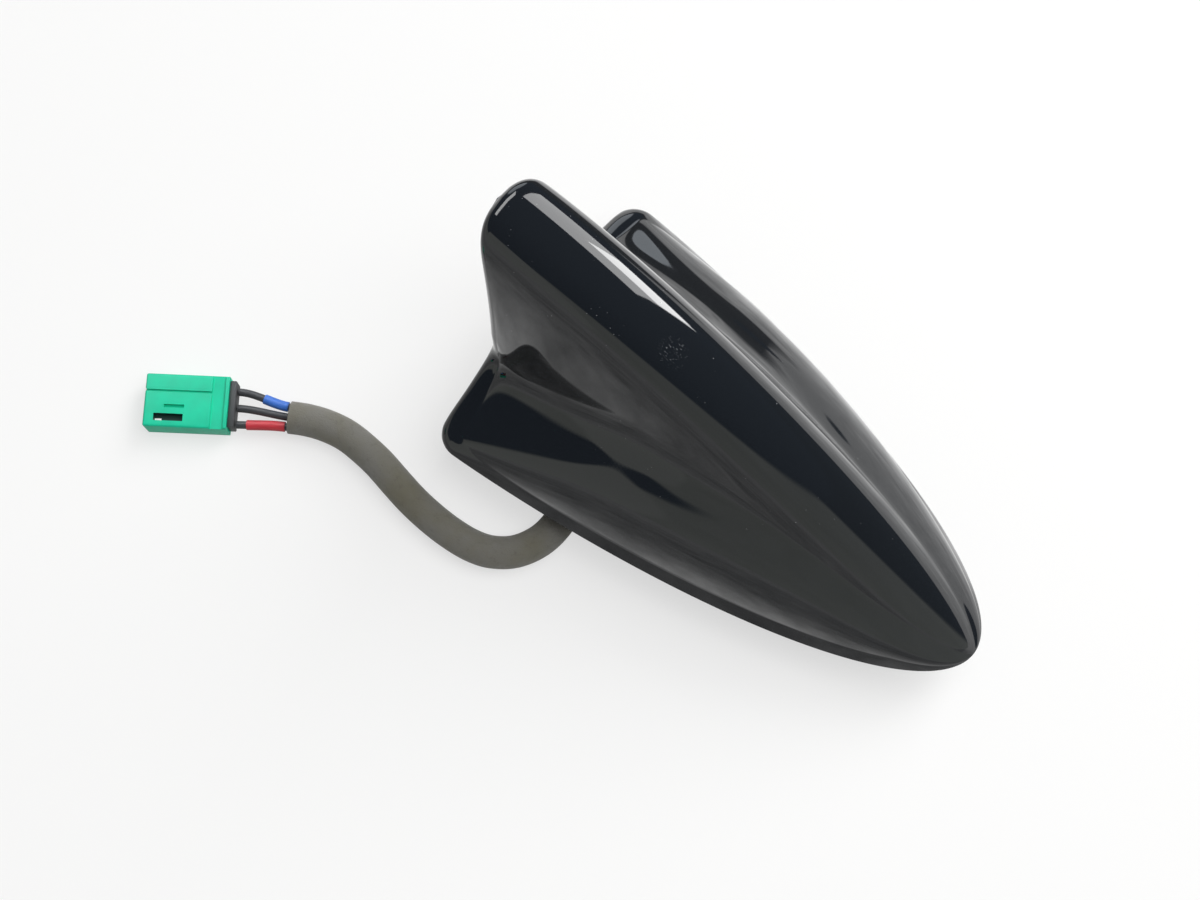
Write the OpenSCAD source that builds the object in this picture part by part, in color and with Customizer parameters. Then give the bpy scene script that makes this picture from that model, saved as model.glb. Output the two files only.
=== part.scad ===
// Shark fin roof aerial: a moulded cover over a die-cast foot, with its boards,
// antennas and a short sleeved lead that ends in a plug.
// +X points to the nose, +Y to the left side, +Z up. The origin is on the axis of
// the fixing bolt, in the plane where the foot's seal meets the roof.

/* [Cover] */
// Length of the cover along the roof, without the overhang of its tip
cover_l = 132; // [110:1:150]
// Width of the cover at its tail
cover_w = 78; // [66:1:90]
// Height of the crest over the cover's rim
cover_h = 63; // [50:1:75]
// Distance from the fixing bolt forward to the nose
nose_x = 82; // [78:0.5:86]
// Wall of the cover
wall = 2.4; // [1.8:0.1:3]
// Half thickness of the fin under its crest at the tip
tip_t = 9.8; // [8.5:0.1:12]
// Half thickness of the fin under its crest at the nose
nose_t = 8.6; // [7.5:0.1:10]
// How much each flank of the fin spreads from crest to root
fin_draft = 8.5; // [7:0.1:9.5]
// How much the fin's root swells out halfway along
waist_swell = 6.7; // [4:0.1:8]
// Height of the body's shoulder where it is highest
body_h = 32; // [29:0.1:34]
// Height of that shoulder at the tail
body_tail_h = 11; // [10:0.1:14]
// How far the tip leans back past the tail in a straight line
tip_lean = 4.2; // [0:0.1:8]
// How far the tip sweeps back beside that, in a curve
tip_sweep = 6.1; // [0:0.1:10]
// Rounding of the tail edge at the rim
tail_r = 6; // [4:0.1:8]
// Rounding of the tail edge at the tip
tip_r = 3.2; // [2.6:0.1:5]
// Bulge of the tail's face
tail_bulge = 0.3; // [0:0.1:2]
// Outward step of the lip round the rim
lip_w = 1.6; // [0.8:0.1:2.4]
// Height of that lip
lip_h = 3.5; // [2:0.1:5]
// Distance from the nose back to the hollow inside
hollow_u = 13; // [11.5:0.5:16]

/* [Cover curves] */
// Roundness of the nose in plan
plan_round = 1.58; // [1.3:0.01:2]
// Fullness of the plan behind the nose
plan_full = 0.51; // [0.45:0.01:0.6]
// Roundness of the crest line
crest_round = 1.5; // [1.2:0.01:2]
// Fullness of the crest line
crest_full = 0.92; // [0.8:0.01:1]
// Where the shoulder starts to fall to the tail, as a share of the length
body_peak = 0.7; // [0.6:0.01:0.75]
// How the shoulder falls from there
body_fall = 0.95; // [0.8:0.01:1.3]
// Height of the shoulder near the nose, as a share of the crest's
body_nose = 0.8; // [0.7:0.01:0.85]
// Roundness of the shoulder
body_round = 1.7; // [1.4:0.01:2.2]
// Roundness of the shoulder at the tail
body_round_tail = 0.85; // [0.6:0.01:1.6]
// Fullness of the body's sides
body_full = 3.3; // [2.4:0.1:3.6]
// Fullness of the sides at the tail
body_full_tail = 2.5; // [2.2:0.1:3.2]
// Sharpness of the hollow between the shoulder and the fin
body_blend = 3.8; // [3:0.1:5]
// Sharpness of that hollow at the tail
body_blend_tail = 2.8; // [2.4:0.1:4]
// How late the section changes to the tail's
body_turn = 3.3; // [2.5:0.1:6]
// Flatness of the crest across its width
crest_flat = 1.5; // [1:0.1:3]

/* [Foot] */
// Thickness of the seal under the cover's rim
seal_t = 2; // [1:0.1:3]
// Width of the seal from the rim inward
seal_w = 9; // [6.5:0.1:11]
// How far the seal stands in from the cover's edge
seal_in = 0.4; // [0:0.1:1]
// Thickness of the foot's plate
plate_t = 3; // [2:0.1:4]
// Gap all round between the plate and the cover's wall
plate_gap = 0.5; // [0.3:0.1:0.8]
// Height of the stiffening rib round the plate
rib_h = 1.4; // [0.6:0.1:1.8]
// Width of that rib
rib_w = 1.6; // [1:0.1:2.5]
// Length of the mounting block
block_l = 22; // [16:0.5:22]
// Width of the mounting block
block_w = 18; // [14:0.5:22]
// How far the block stands below the roof's surface
block_h = 12; // [11:0.5:16]
// Radius of the block's upright corners
block_r = 3; // [1:0.5:5]
// Radius of the tapped hole for the fixing bolt
bolt_r = 2.5; // [2:0.1:3.5]
// Depth of that hole
bolt_depth = 14; // [8:0.5:15]
// Distance from the bolt forward to the locating pin
pin_x = 27; // [24:0.5:30]
// Radius of the locating pin
pin_r = 2.5; // [1.5:0.1:3]
// How far the locating pin stands below the roof's surface
pin_h = 5; // [3:0.5:8]
// Width of the inner seal's ring
ring_w = 3; // [2:0.1:4]
// Gap between the inner seal and what it goes round
ring_gap = 4; // [2:0.5:5]

/* [Screws] */
// Radius of every screw's shank
screw_r = 1.15; // [0.9:0.05:1.3]
// Radius of every screw's head
head_r = 2.4; // [1.8:0.1:2.8]
// Height of every screw's head
head_h = 1.5; // [1:0.1:1.7]
// Gap round a shank in its thread
thread_gap = 0.05; // [0.02:0.01:0.1]
// Gap round a shank in a plain hole
hole_gap = 0.35; // [0.2:0.05:0.5]
// Length of the cover screws' shanks
cover_screw_l = 5.8; // [5:0.1:6]
// Radius of the cover's screw bosses
boss_r = 3.1; // [2.6:0.1:3.6]
// Distance from the nose back to the front cover screw
front_screw_u = 32; // [28:0.5:36]
// Distance from the cover's tail forward to the rear cover screws
rear_screw_back = 20; // [18:0.5:26]
// Distance from the cover's side in to the rear cover screws
rear_screw_in = 15; // [14:0.5:16]

/* [Boards] */
// Height of the pads that carry the main board
pad_h = 1.5; // [1:0.1:2]
// Radius of those pads
pad_r = 3; // [2.5:0.1:3.4]
// Thickness of the main board
board_t = 1.6; // [1:0.1:2]
// Distance from the nose back to the main board's front edge
board_u = 44; // [42:0.5:46]
// Distance from the cover's tail forward to the main board's back edge
board_back_u = 8; // [7:0.5:12]
// Half width of the main board at its front
board_front = 8.3; // [7:0.1:8.5]
// Half width of the main board at the knee in its sides
board_mid = 11; // [9:0.1:11.2]
// Gap between the main board's sides and the rear screw bosses
board_gap = 1.9; // [1:0.1:3]
// Distance from the board's sides in to the rear board screws
board_screw_in = 4; // [3.2:0.1:5]
// Distance along the board from its front edge to that knee
board_knee = 16; // [14:0.5:20]
// Distance along the board over which it widens
board_taper = 49; // [48:1:56]
// Thickness of the fin board
fin_board_t = 1.2; // [0.8:0.1:1.6]
// Distance from the cover's tail forward to the fin board's front edge
fin_board_back = 35; // [34:0.5:35.5]
// Length of the fin board along the roof
fin_board_l = 28; // [24:0.5:30]
// Gap over the fin board, up to the cover's inside
fin_board_gap = 8.2; // [7.5:0.1:14]
// Width of the top plate across the fin
top_w = 10; // [8:0.1:11]
// Depth of the top plate's side flanges
top_flange = 5; // [3:0.1:7]
// Thickness of the top plate's sheet
sheet_t = 0.5; // [0.3:0.1:0.8]
// Length of the amplifier's can along the roof
can_l = 17; // [15:0.5:18]
// Width of that can
can_w = 9; // [8:0.5:9.5]
// Height of that can
can_h = 3; // [2.4:0.1:4]
// Distance from the middle out to the can
can_y = 5; // [4.5:0.1:5.5]
// Side of each amplifier chip
chip_l = 5; // [3:0.5:5.5]
// Height of each amplifier chip
chip_h = 1.2; // [0.8:0.1:1.6]

/* [Antennas] */
// Side of each square patch antenna
patch_l = 18; // [15:0.5:18.5]
// Thickness of each patch antenna
patch_t = 4; // [3:0.1:4.5]
// Distance from the nose back to the middle of the front patch
patch_u = 60; // [59:0.5:61]
// Gap between the two patches
patch_gap = 2; // [1:0.5:3]
// Radius of a patch's feed pin
feed_r = 0.5; // [0.3:0.05:0.8]
// Distance from the fin board's front edge forward to the coil's axis
coil_gap = 4; // [4:0.1:4.5]
// Radius of the coil's former
former_r = 2.2; // [1.8:0.1:2.3]
// Radius of the coil's wire
coil_wire_r = 0.4; // [0.3:0.05:0.45]
// Number of turns in the coil
coil_turns = 9; // [5:1:12]
// Length of the coil along its axis
coil_l = 26; // [20:0.5:30]

/* [Lead] */
// Diameter of the padded sleeve over the lead
sleeve_d = 8; // [7:0.1:9]
// Diameter of each coaxial wire
coax_d = 1.9; // [1.5:0.1:2.2]
// Distance between the wires at the sleeve's end
coax_fan = 2.5; // [2.3:0.1:2.6]
// Length of the plug along its wires
plug_l = 20; // [17:0.5:24]
// Width of the plug
plug_w = 13.2; // [12:0.1:15]
// Height of the plug
plug_h = 7; // [6:0.1:8]
// Distance between the wires at the plug
plug_pitch = 4.1; // [3.5:0.1:4.2]
// Length of the blue marker on its wire
blue_l = 6.5; // [4:0.5:9]
// Length of the red marker on its wire
red_l = 10; // [6:0.5:11]
// Wall of both markers
marker_t = 0.3; // [0.2:0.05:0.5]

/* [Plug details] */
// Thickness of the dark strip across the plug's wire end
retainer_t = 1.6; // [1:0.1:2.4]
// Depth of the step and the groove in the plug's top
plug_step = 0.5; // [0.3:0.1:0.8]
// Length of the lowered neck at the wire end
plug_neck = 4; // [3:0.1:5]
// Distance of the groove from the plug's middle
groove_y = 2; // [1:0.1:3]
// Width of the groove
groove_w = 0.6; // [0.4:0.1:1]
// Distance of the lock's slot from the plug's middle
slot_y = 4.2; // [3.8:0.1:4.6]
// Length of that slot
slot_l = 7; // [5:0.1:8]
// Width of that slot
slot_w = 1.8; // [1.2:0.1:2.2]
// Depth of that slot
slot_depth = 1.6; // [1:0.1:1.8]
// Radius of each contact's cavity
cavity_r = 1.2; // [1.15:0.01:1.3]
// Radius of each contact
contact_r = 1.1; // [0.9:0.01:1.1]

/* [Hidden] */

stations = 26;
rows = 20;
body_rows = 9;
turn_steps = 4;
tail_power = 6;
base_z = seal_t;
plate_z = seal_t + plate_t;
board_z = plate_z + pad_h + board_t;
table_z = -block_h;
land_z = plate_t + rib_h;
pilot_z = seal_t + cover_screw_l + 0.2;
rear_screw_u = cover_l - rear_screw_back;
rear_screw_y = cover_w/2 - rear_screw_in;
board_l = cover_l - board_u - board_back_u;
board_back = rear_screw_y - boss_r - board_gap;
board_mid_u = 93;
board_mid_y = 12.5;
board_rear_u = board_u + board_l - 5;
board_rear_y = board_back - board_screw_in;
board_screw_at = [
    [board_u + pad_r, 0], [board_mid_u, board_mid_y], [board_mid_u, -board_mid_y],
    [board_rear_u, board_rear_y], [board_rear_u, -board_rear_y]
];
cover_screw_at = [[front_screw_u, 0], [rear_screw_u, rear_screw_y], [rear_screw_u, -rear_screw_y]];
grommet_at = [-19, -6];
grommet_l = 14;
can_u = board_u + board_l - 8;
fin_board_u = cover_l - fin_board_back;
coil_u = fin_board_u - coil_gap;
grommet_neck_r = 5.5;
grommet_flange_h = 1;
lead_y = [-9, -6.4, -3.8];
lead_x = grommet_at[0] - 1;
clamp_x = lead_x - 18;

// Route of the sleeve's middle line, from the grommet's face to the wires
sleeve_route = [
    [-18, -13.2, -6], [-18, -17, -6], [-17, -22.5, -6.6], [-15.6, -28.5, -7.6], [-14.8, -35, -8],
    [-15.6, -41, -8], [-18.5, -46.5, -8], [-23, -50.2, -8], [-28, -52, -8], [-34, -52.7, -8],
    [-40, -52.7, -8], [-46, -52.2, -8], [-52, -51.2, -8], [-58, -50.1, -8], [-64, -49.6, -8],
    [-69, -49.7, -8], [-74, -50.8, -8], [-78.5, -52.6, -8], [-82.2, -54.7, -8]
];
// Where the sleeve ends, and the direction that its wires leave in
sleeve_end = sleeve_route[18];
sleeve_turn = 210;
// Middle of the plug's wire end, and the direction from its mouth to its wires
plug_at = [-95.5, -61.5];
plug_turn = 36;
plug_shift = -0.5;
lane_gap = 0.25;
plug_wire_z = table_z + plug_h/2;

function nose_fade(s) = sqrt(1 - pow(1 - s, 7));
function half_width(s) = cover_w/2 * pow(1 - pow(1 - s, plan_round), plan_full);
function crest(s) = cover_h * pow(1 - pow(1 - s, crest_round), crest_full);

// Sizes of one section at s, the share of the length from the nose, for a skin
// that lies d inside the outer one
function skin_half(s, d) = half_width(s) - (d > 0 ? d + lip_w : lip_w*nose_fade(s));
function skin_crest(s, d) = crest(s) - 1.15*d;
function skin_top(s, d) = min((nose_t + (tip_t - nose_t)*s)*nose_fade(s), 0.8*half_width(s)) - d;
function skin_root(s, d) =
    min(
        skin_top(s, d) + fin_draft*crest(s)/cover_h + waist_swell*pow(4*s*(1 - s), 0.7),
        0.9*skin_half(s, d)
    );
function skin_body(s, d) =
    let (
        back = max(0, (s - body_peak)/(1 - body_peak)),
        own = body_h + (body_tail_h - body_h)*pow(back, body_fall),
        front = max(body_nose*crest(s), 0.001),
        h = pow(pow(own, -8) + pow(front, -8), -1/8)
    )
    max(h - 0.8*d, 0.4*h);
function skin_lip(s) = min(lip_h, 0.35*skin_body(s, 0));
// A section's curve value at s, from its value along the body to its value at the tail
function to_tail(s, body, tail) = body + (tail - body)*pow(s, body_turn);

// Half width of the section at s and height z
function skin_y(s, z, d) =
    let (
        h = skin_crest(s, d),
        share = z/h,
        top = skin_top(s, d),
        root = skin_root(s, d),
        power = max(2*h/top*crest_flat, 1.5),
        flank = (top + (root - top)*(1 - share))*sqrt(max(0, 1 - pow(share, power))),
        low = min(1, z/skin_body(s, d)),
        blend = to_tail(s, body_blend, body_blend_tail),
        full = to_tail(s, body_full, body_full_tail),
        edge = pow(pow(skin_half(s, d), blend) - pow(root, blend), 1/blend),
        side = edge*pow(1 - pow(low, full), 1/to_tail(s, body_round, body_round_tail)),
        lip = d > 0 ? 0 : lip_w*nose_fade(s)*max(0, 1 - z/skin_lip(s))
    )
    pow(pow(flank, blend) + pow(side, blend), 1/blend) + lip;

// Height of row k: the rim, then evenly from the lip's crease or the top of the
// hollow's upright foot over the shoulder, then closer together to the crest
function row_z(s, k, d) =
    let (
        start = d > 0 ? land_z : skin_lip(s),
        h = skin_crest(s, d),
        middle = min(1.08*skin_body(s, d), start + 0.8*(h - start))
    )
    k == 0 ? 0
    : k <= body_rows ? start + (middle - start)*(k - 1)/(body_rows - 1)
    : middle + (h - middle)*(1 - pow(1 - (k - body_rows)/(rows - body_rows), 1.8));
function row_y(s, k, d) =
    k == rows ? 0 : skin_y(s, d > 0 ? max(land_z, row_z(s, k, d)) : row_z(s, k, d), d);

// How far the tail's edge leans back at height z, and how round it is there
function tail_lean(z) = tip_lean*z/cover_h + tip_sweep*pow(z/cover_h, 2);
function tail_round(z, d) = tail_r + (tip_r - tail_r)*min(1, 3*z/cover_h) - d;

// Point of one side at station s and row k
function side_point(s, k, d) =
    let (z = row_z(s, k, d))
    [
        s*cover_l + tail_lean(z)*pow(s, tail_power) - tail_round(z, 0)*pow(s, 2*tail_power),
        row_y(s, k, d),
        z
    ];

// Outward normal of the tail's section at row k, in Y and Z, with less of Z so
// that the rounding never folds over the shoulder
function tail_normal(k, d) =
    k == 0 ? [1, 0]
    : k == rows ? [0, 1]
    : let (
        z = row_z(1, k, d),
        reach = min(0.4, z, skin_crest(1, d) - z),
        out = skin_y(1, z + reach, d) - skin_y(1, z - reach, d),
        n = [2*reach, -out]/norm([2*reach, -out])
      )
      [n[0], n[1]*(k > rows - 6 ? 1 : 0.6)];

// Point of one side on the tail's rounding, a degrees round from the flank
function tail_point(a, k, d) =
    let (
        z = row_z(1, k, d),
        r = tail_round(z, d),
        in = (1 - cos(a))*r,
        n = tail_normal(k, d)
    )
    [
        cover_l + tail_lean(z) - d - r + r*sin(a),
        max(0, row_y(1, k, d) - in*n[0]),
        z - in*n[1]
    ];

// One side's rings from nose to tail, each a list of rows
function side_rings(d) =
    let (first = d > 0 ? hollow_u/cover_l : 0)
    concat(
        [for (i = [(d > 0 ? 0 : 1) : stations])
            let (s = first + (1 - first)*pow(i/stations, d > 0 ? 1.2 : 1.6))
            [for (k = [0 : rows]) side_point(s, k, d)]],
        [for (i = [1 : turn_steps])
            [for (k = [0 : rows]) tail_point(90*i/turn_steps, k, d)]]
    );

// A ring right round: up the right side, over the crest and down the left side
function whole_ring(side, drop) = concat(
    [for (k = [0 : rows]) [nose_x - side[k][0], -side[k][1], side[k][2] - (k == 0 ? drop : 0)]],
    [for (k = [rows - 1 : -1 : 0]) [nose_x - side[k][0], side[k][1], side[k][2] - (k == 0 ? drop : 0)]]
);

// Closed skin of the cover, d inside its outer surface and drop below its rim
module skin(d, drop) {
    sides = side_rings(d);
    rings = [for (side = sides) whole_ring(side, drop)];
    n = 2*rows + 1;
    m = len(rings);
    start = d > 0 ? [rings[0][0][0], 0, 1] : [nose_x, 0, 0];
    tail = sides[m - 1];
    middle = [for (k = [0 : rows - 1])
        [nose_x - tail[k][0] - (d > 0 ? 0 : tail_bulge), 0, tail[k][2] - (k == 0 ? drop : 0)]];
    points = concat([for (ring = rings) each ring], [start], middle);
    start_i = m*n;
    middle_i = m*n + 1;
    last = (m - 1)*n;
    skin_faces = [for (i = [0 : m - 2]) for (k = [0 : n - 2])
        each [
            [i*n + k, (i + 1)*n + k, (i + 1)*n + k + 1],
            [i*n + k, (i + 1)*n + k + 1, i*n + k + 1]
        ]];
    start_faces = [for (k = [0 : n - 1]) [start_i, k, (k + 1) % n]];
    floor_faces = [for (i = [0 : m - 2])
        each [
            [i*n + n - 1, (i + 1)*n + n - 1, (i + 1)*n],
            [i*n + n - 1, (i + 1)*n, i*n]
        ]];
    tail_faces = [for (k = [0 : rows - 2])
        each [
            [last + k, middle_i + k, middle_i + k + 1],
            [last + k, middle_i + k + 1, last + k + 1],
            [last + n - 1 - k, last + n - 2 - k, middle_i + k + 1],
            [last + n - 1 - k, middle_i + k + 1, middle_i + k]
        ]];
    peak = middle_i + rows - 1;
    peak_faces = [
        [last + rows - 1, peak, last + rows],
        [last + rows, peak, last + rows + 1],
        [last, last + n - 1, middle_i]
    ];
    polyhedron(points, concat(skin_faces, start_faces, floor_faces, tail_faces, peak_faces));
}

// Both sides of an outline, from one side's list of distances back and out
function both_sides(side) = concat(
    [for (p = side) [nose_x - p[0], p[1]]],
    [for (i = [len(side) - 1 : -1 : 0]) [nose_x - side[i][0], -side[i][1]]]
);

// Half width of an outline in plan at u back from the nose, moved in by d: that
// of the cover's rim, or of the hollow that the foot fills
function plan_y(u, d, inner) =
    let (late = min(1, (u + tail_r)/cover_l))
    (inner ? skin_y(min(1, (u + tail_r*pow(late, 2*tail_power))/cover_l), land_z, wall)
    : half_width(u/cover_l)) - d;

// Such an outline from front_u back to tail_d before the tail, corners of radius r
function plan_outline(front_u, d, tail_d, r, inner) =
    let (
        steps = 20,
        end_u = cover_l - tail_d - r,
        flank = [for (i = [0 : steps])
            let (u = front_u + (end_u - front_u)*pow(i/steps, 1.5))
            [u, plan_y(u, d, inner)]],
        corner_y = plan_y(end_u, d, inner) - r,
        corner = [for (a = [22.5 : 22.5 : 90]) [end_u + r*sin(a), corner_y + r*cos(a)]]
    )
    both_sides(concat(flank, corner));

// Outline of the foot's plate, moved in by d
function plate_outline(d) =
    plan_outline(hollow_u + plate_gap + d, plate_gap + d, wall + plate_gap + d, 3 - d, true);

// Rectangle from low to high with round corners
module rounded(low, high, r) {
    corners = [[high[0] - r, high[1] - r, 0], [low[0] + r, high[1] - r, 90],
               [low[0] + r, low[1] + r, 180], [high[0] - r, low[1] + r, 270]];
    polygon([for (c = corners) for (a = [0 : 15 : 90])
        [c[0] + r*cos(c[2] + a), c[1] + r*sin(c[2] + a)]]);
}

// A point part of the way from b to c on the smooth curve through a, b, c and d
function between(a, b, c, d, t) =
    0.5*(2*b + (c - a)*t + (2*a - 5*b + 4*c - d)*t*t + (3*b - a - 3*c + d)*t*t*t);
function smooth(route, steps) =
    let (last = len(route) - 1)
    concat(
        [for (i = [0 : last - 1]) for (j = [0 : steps - 1])
            between(route[max(i - 1, 0)], route[i], route[i + 1], route[min(i + 2, last)], j/steps)],
        [route[last]]
    );
function unit(v) = v/norm(v);

// Round tube along a path; up is never in line with the path
module tube(path, r, sides, up) {
    last = len(path) - 1;
    points = [for (i = [0 : last])
        let (
            along = unit(path[min(i + 1, last)] - path[max(i - 1, 0)]),
            across = unit(cross(along, up)),
            over = cross(across, along)
        )
        for (j = [0 : sides - 1])
            path[i] + r*(cos(360*j/sides)*across + sin(360*j/sides)*over)];
    walls = [for (i = [0 : last - 1]) for (j = [0 : sides - 1])
        let (a = i*sides + j, b = i*sides + (j + 1) % sides)
        each [[a, b, b + sides], [a, b + sides, a + sides]]];
    ends = [
        [for (j = [sides - 1 : -1 : 0]) j],
        [for (j = [0 : sides - 1]) last*sides + j]
    ];
    polyhedron(points, concat(walls, ends));
}

module screw(length) {
    translate([0, 0, -head_h]) cylinder(r = head_r, h = head_h, $fn = 40);
    cylinder(r = screw_r, h = length, $fn = 40);
}

module at_board_screws() {
    for (p = board_screw_at) translate([nose_x - p[0], p[1], 0]) children();
}

module at_cover_screws() {
    for (p = cover_screw_at) translate([nose_x - p[0], p[1], 0]) children();
}

// Gloss cover with its screw bosses
module fin_cover() {
    color([0.03, 0.035, 0.04])
    difference() {
        translate([0, 0, base_z]) skin(0, 0);
        difference() {
            translate([0, 0, base_z]) skin(wall, 1);
            at_cover_screws() translate([0, 0, plate_z]) cylinder(r = boss_r, h = cover_h, $fn = 48);
        }
        at_cover_screws() cylinder(r = screw_r + thread_gap, h = pilot_z, $fn = 40);
    }
}

// Rubber seal that runs round under the cover's rim
module rim_seal() {
    color([0.06, 0.06, 0.06])
    linear_extrude(seal_t) difference() {
        polygon(plan_outline(seal_in, seal_in, seal_in, tail_r - seal_in, false));
        polygon(plan_outline(seal_w, seal_w, seal_w, 4, false));
    }
}

// Foot: plate, stiffening rib, board pads, mounting block and locating pin
module base_plate() {
    color([0.62, 0.63, 0.65])
    difference() {
        union() {
            translate([0, 0, seal_t]) linear_extrude(plate_t) polygon(plate_outline(0));
            translate([0, 0, plate_z]) linear_extrude(rib_h) difference() {
                polygon(plate_outline(0));
                polygon(plate_outline(rib_w));
            }
            translate([0, 0, -block_h]) linear_extrude(block_h + seal_t)
                rounded([-block_l/2, -block_w/2], [block_l/2, block_w/2], block_r);
            at_board_screws() translate([0, 0, plate_z]) cylinder(r = pad_r, h = pad_h, $fn = 48);
            translate([pin_x, 0, -pin_h]) cylinder(r = pin_r, h = pin_h + seal_t, $fn = 48);
        }
        translate([0, 0, -block_h - 1]) cylinder(r = bolt_r, h = bolt_depth + 1, $fn = 48);
        translate([grommet_at[0], grommet_at[1], 0])
            cylinder(r = grommet_neck_r + 0.1, h = plate_z + 1, $fn = 64);
        at_cover_screws() cylinder(r = screw_r + hole_gap, h = plate_z + 1, $fn = 40);
        at_board_screws() translate([0, 0, seal_t + 1])
            cylinder(r = screw_r + thread_gap, h = plate_t + pad_h, $fn = 40);
    }
}

// Ring of rubber that keeps water from the hole in the roof
module inner_seal() {
    low = [grommet_at[0] - grommet_l/2 - ring_gap, -block_w/2 - ring_gap];
    high = [block_l/2 + ring_gap, block_w/2 + ring_gap];
    color([0.08, 0.08, 0.08])
    linear_extrude(seal_t) difference() {
        rounded(low - [ring_w, ring_w], high + [ring_w, ring_w], block_r + ring_w);
        rounded(low, high, block_r);
    }
}

module cover_screws() {
    color([0.5, 0.5, 0.52])
    at_cover_screws() translate([0, 0, seal_t]) screw(cover_screw_l);
}

function board_outline() =
    both_sides([
        [board_u, board_front], [board_u + board_knee, board_mid], [board_u + board_taper, board_back],
        [board_u + board_l - 2, board_back], [board_u + board_l, board_back - 2]
    ]);

module main_board() {
    color([0.05, 0.28, 0.14])
    difference() {
        translate([0, 0, board_z - board_t]) linear_extrude(board_t) polygon(board_outline());
        at_board_screws() cylinder(r = screw_r + hole_gap, h = board_z + 1, $fn = 40);
        translate([lead_x - 5.5, lead_y[0] - 2, plate_z])
            cube([9, lead_y[2] - lead_y[0] + 3.6, board_t + pad_h + 1]);
        at_patch_pins() cylinder(r = feed_r + thread_gap, h = board_z + 1, $fn = 32);
    }
}

module board_screws() {
    color([0.55, 0.55, 0.57])
    at_board_screws() translate([0, 0, board_z]) mirror([0, 0, 1]) screw(board_t + pad_h + 1.4);
}

module at_patch_pins() {
    for (i = [0, 1])
        translate([nose_x - patch_u - i*(patch_l + patch_gap) - 2, 0, 0]) children();
}

module patch(u) {
    translate([nose_x - u, 0, board_z]) difference() {
        linear_extrude(patch_t) rounded([-patch_l/2, -patch_l/2], [patch_l/2, patch_l/2], 1);
        translate([-2, 0, -1]) cylinder(r = feed_r + thread_gap, h = patch_t + 2, $fn = 32);
    }
}

module front_patch() {
    color([0.72, 0.66, 0.55]) patch(patch_u);
}

module rear_patch() {
    color([0.72, 0.66, 0.55]) patch(patch_u + patch_l + patch_gap);
}

module feed_pins() {
    color([0.8, 0.8, 0.82])
    at_patch_pins() translate([0, 0, board_z - board_t]) {
        cylinder(r = feed_r, h = board_t + patch_t, $fn = 32);
        translate([0, 0, board_t + patch_t]) cylinder(r = 2*feed_r, h = 0.4, $fn = 32);
    }
}

// Tinned can over the amplifier, left of the fin board
module shield_can() {
    hole_r = 0.6;
    hole_step = 4;
    first_hole = (can_w - hole_step)/2;
    color([0.7, 0.71, 0.73])
    translate([nose_x - can_u, can_y, board_z]) difference() {
        cube([can_l, can_w, can_h]);
        translate([sheet_t, sheet_t, -1]) cube([can_l - 2*sheet_t, can_w - 2*sheet_t, can_h - sheet_t + 1]);
        for (i = [0 : 3]) for (j = [0 : 1])
            translate([first_hole + hole_step*i, first_hole + hole_step*j, can_h - 1])
                cylinder(r = hole_r, h = 2, $fn = 24);
    }
}

module amplifier_chips() {
    color([0.1, 0.1, 0.1])
    for (i = [0, 1])
        translate([
            nose_x - can_u + (can_l - 2*chip_l)/3*(i + 1) + chip_l*i,
            can_y + (can_w - chip_l)/2,
            board_z
        ])
            cube([chip_l, chip_l, chip_h]);
}

// Height of the fin board's top edge, which keeps its gap under the crest
function fin_board_z(u) = base_z + skin_crest(u/cover_l, wall) - fin_board_gap;

module fin_board() {
    front_x = nose_x - fin_board_u;
    back_x = front_x - fin_board_l;
    foot_l = 6;
    foot_h = 8;
    color([0.06, 0.3, 0.16])
    translate([0, fin_board_t/2, 0]) rotate([90, 0, 0]) linear_extrude(fin_board_t)
        polygon([
            [front_x, board_z],
            [front_x, fin_board_z(fin_board_u)],
            [back_x, fin_board_z(fin_board_u + fin_board_l)],
            [back_x, board_z + foot_h + foot_l],
            [back_x + foot_l, board_z + foot_h],
            [back_x + foot_l, board_z]
        ]);
}

module fin_brackets() {
    bracket_l = 4;
    foot_w = 3.6;
    bracket_h = 5;
    color([0.75, 0.72, 0.6])
    for (x = [7, 17]) translate([nose_x - fin_board_u - x, fin_board_t/2, board_z]) {
        cube([bracket_l, foot_w, sheet_t]);
        cube([bracket_l, sheet_t, bracket_h]);
    }
}

// Folded metal plate along the fin board's top edge
module top_plate() {
    front_z = fin_board_z(fin_board_u);
    slope = atan((fin_board_z(fin_board_u + fin_board_l) - front_z)/fin_board_l);
    long = fin_board_l/cos(slope);
    color([0.78, 0.76, 0.7])
    translate([nose_x - fin_board_u, 0, front_z]) rotate([0, 180 + slope, 0])
        mirror([0, 0, 1]) {
            translate([0, -top_w/2, 0]) cube([long, top_w, sheet_t]);
            for (side = [-1, 1])
                translate([0, side*(top_w - sheet_t)/2 - sheet_t/2, -top_flange])
                    cube([long, sheet_t, top_flange + sheet_t]);
        }
}

// Bobbin that the coil is wound on
module coil_former() {
    flange_h = 1.5;
    flange_r = former_r + 2*coil_wire_r + 0.3;
    color([0.85, 0.83, 0.78])
    translate([nose_x - coil_u, 0, board_z]) difference() {
        union() {
            cylinder(r = former_r, h = coil_l + 2*flange_h, $fn = 48);
            for (z = [0, coil_l + flange_h])
                translate([0, 0, z]) cylinder(r = flange_r, h = flange_h, $fn = 48);
        }
        translate([0, 0, -1]) cylinder(r = former_r - 1, h = coil_l + 2*flange_h + 2, $fn = 48);
    }
}

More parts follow.
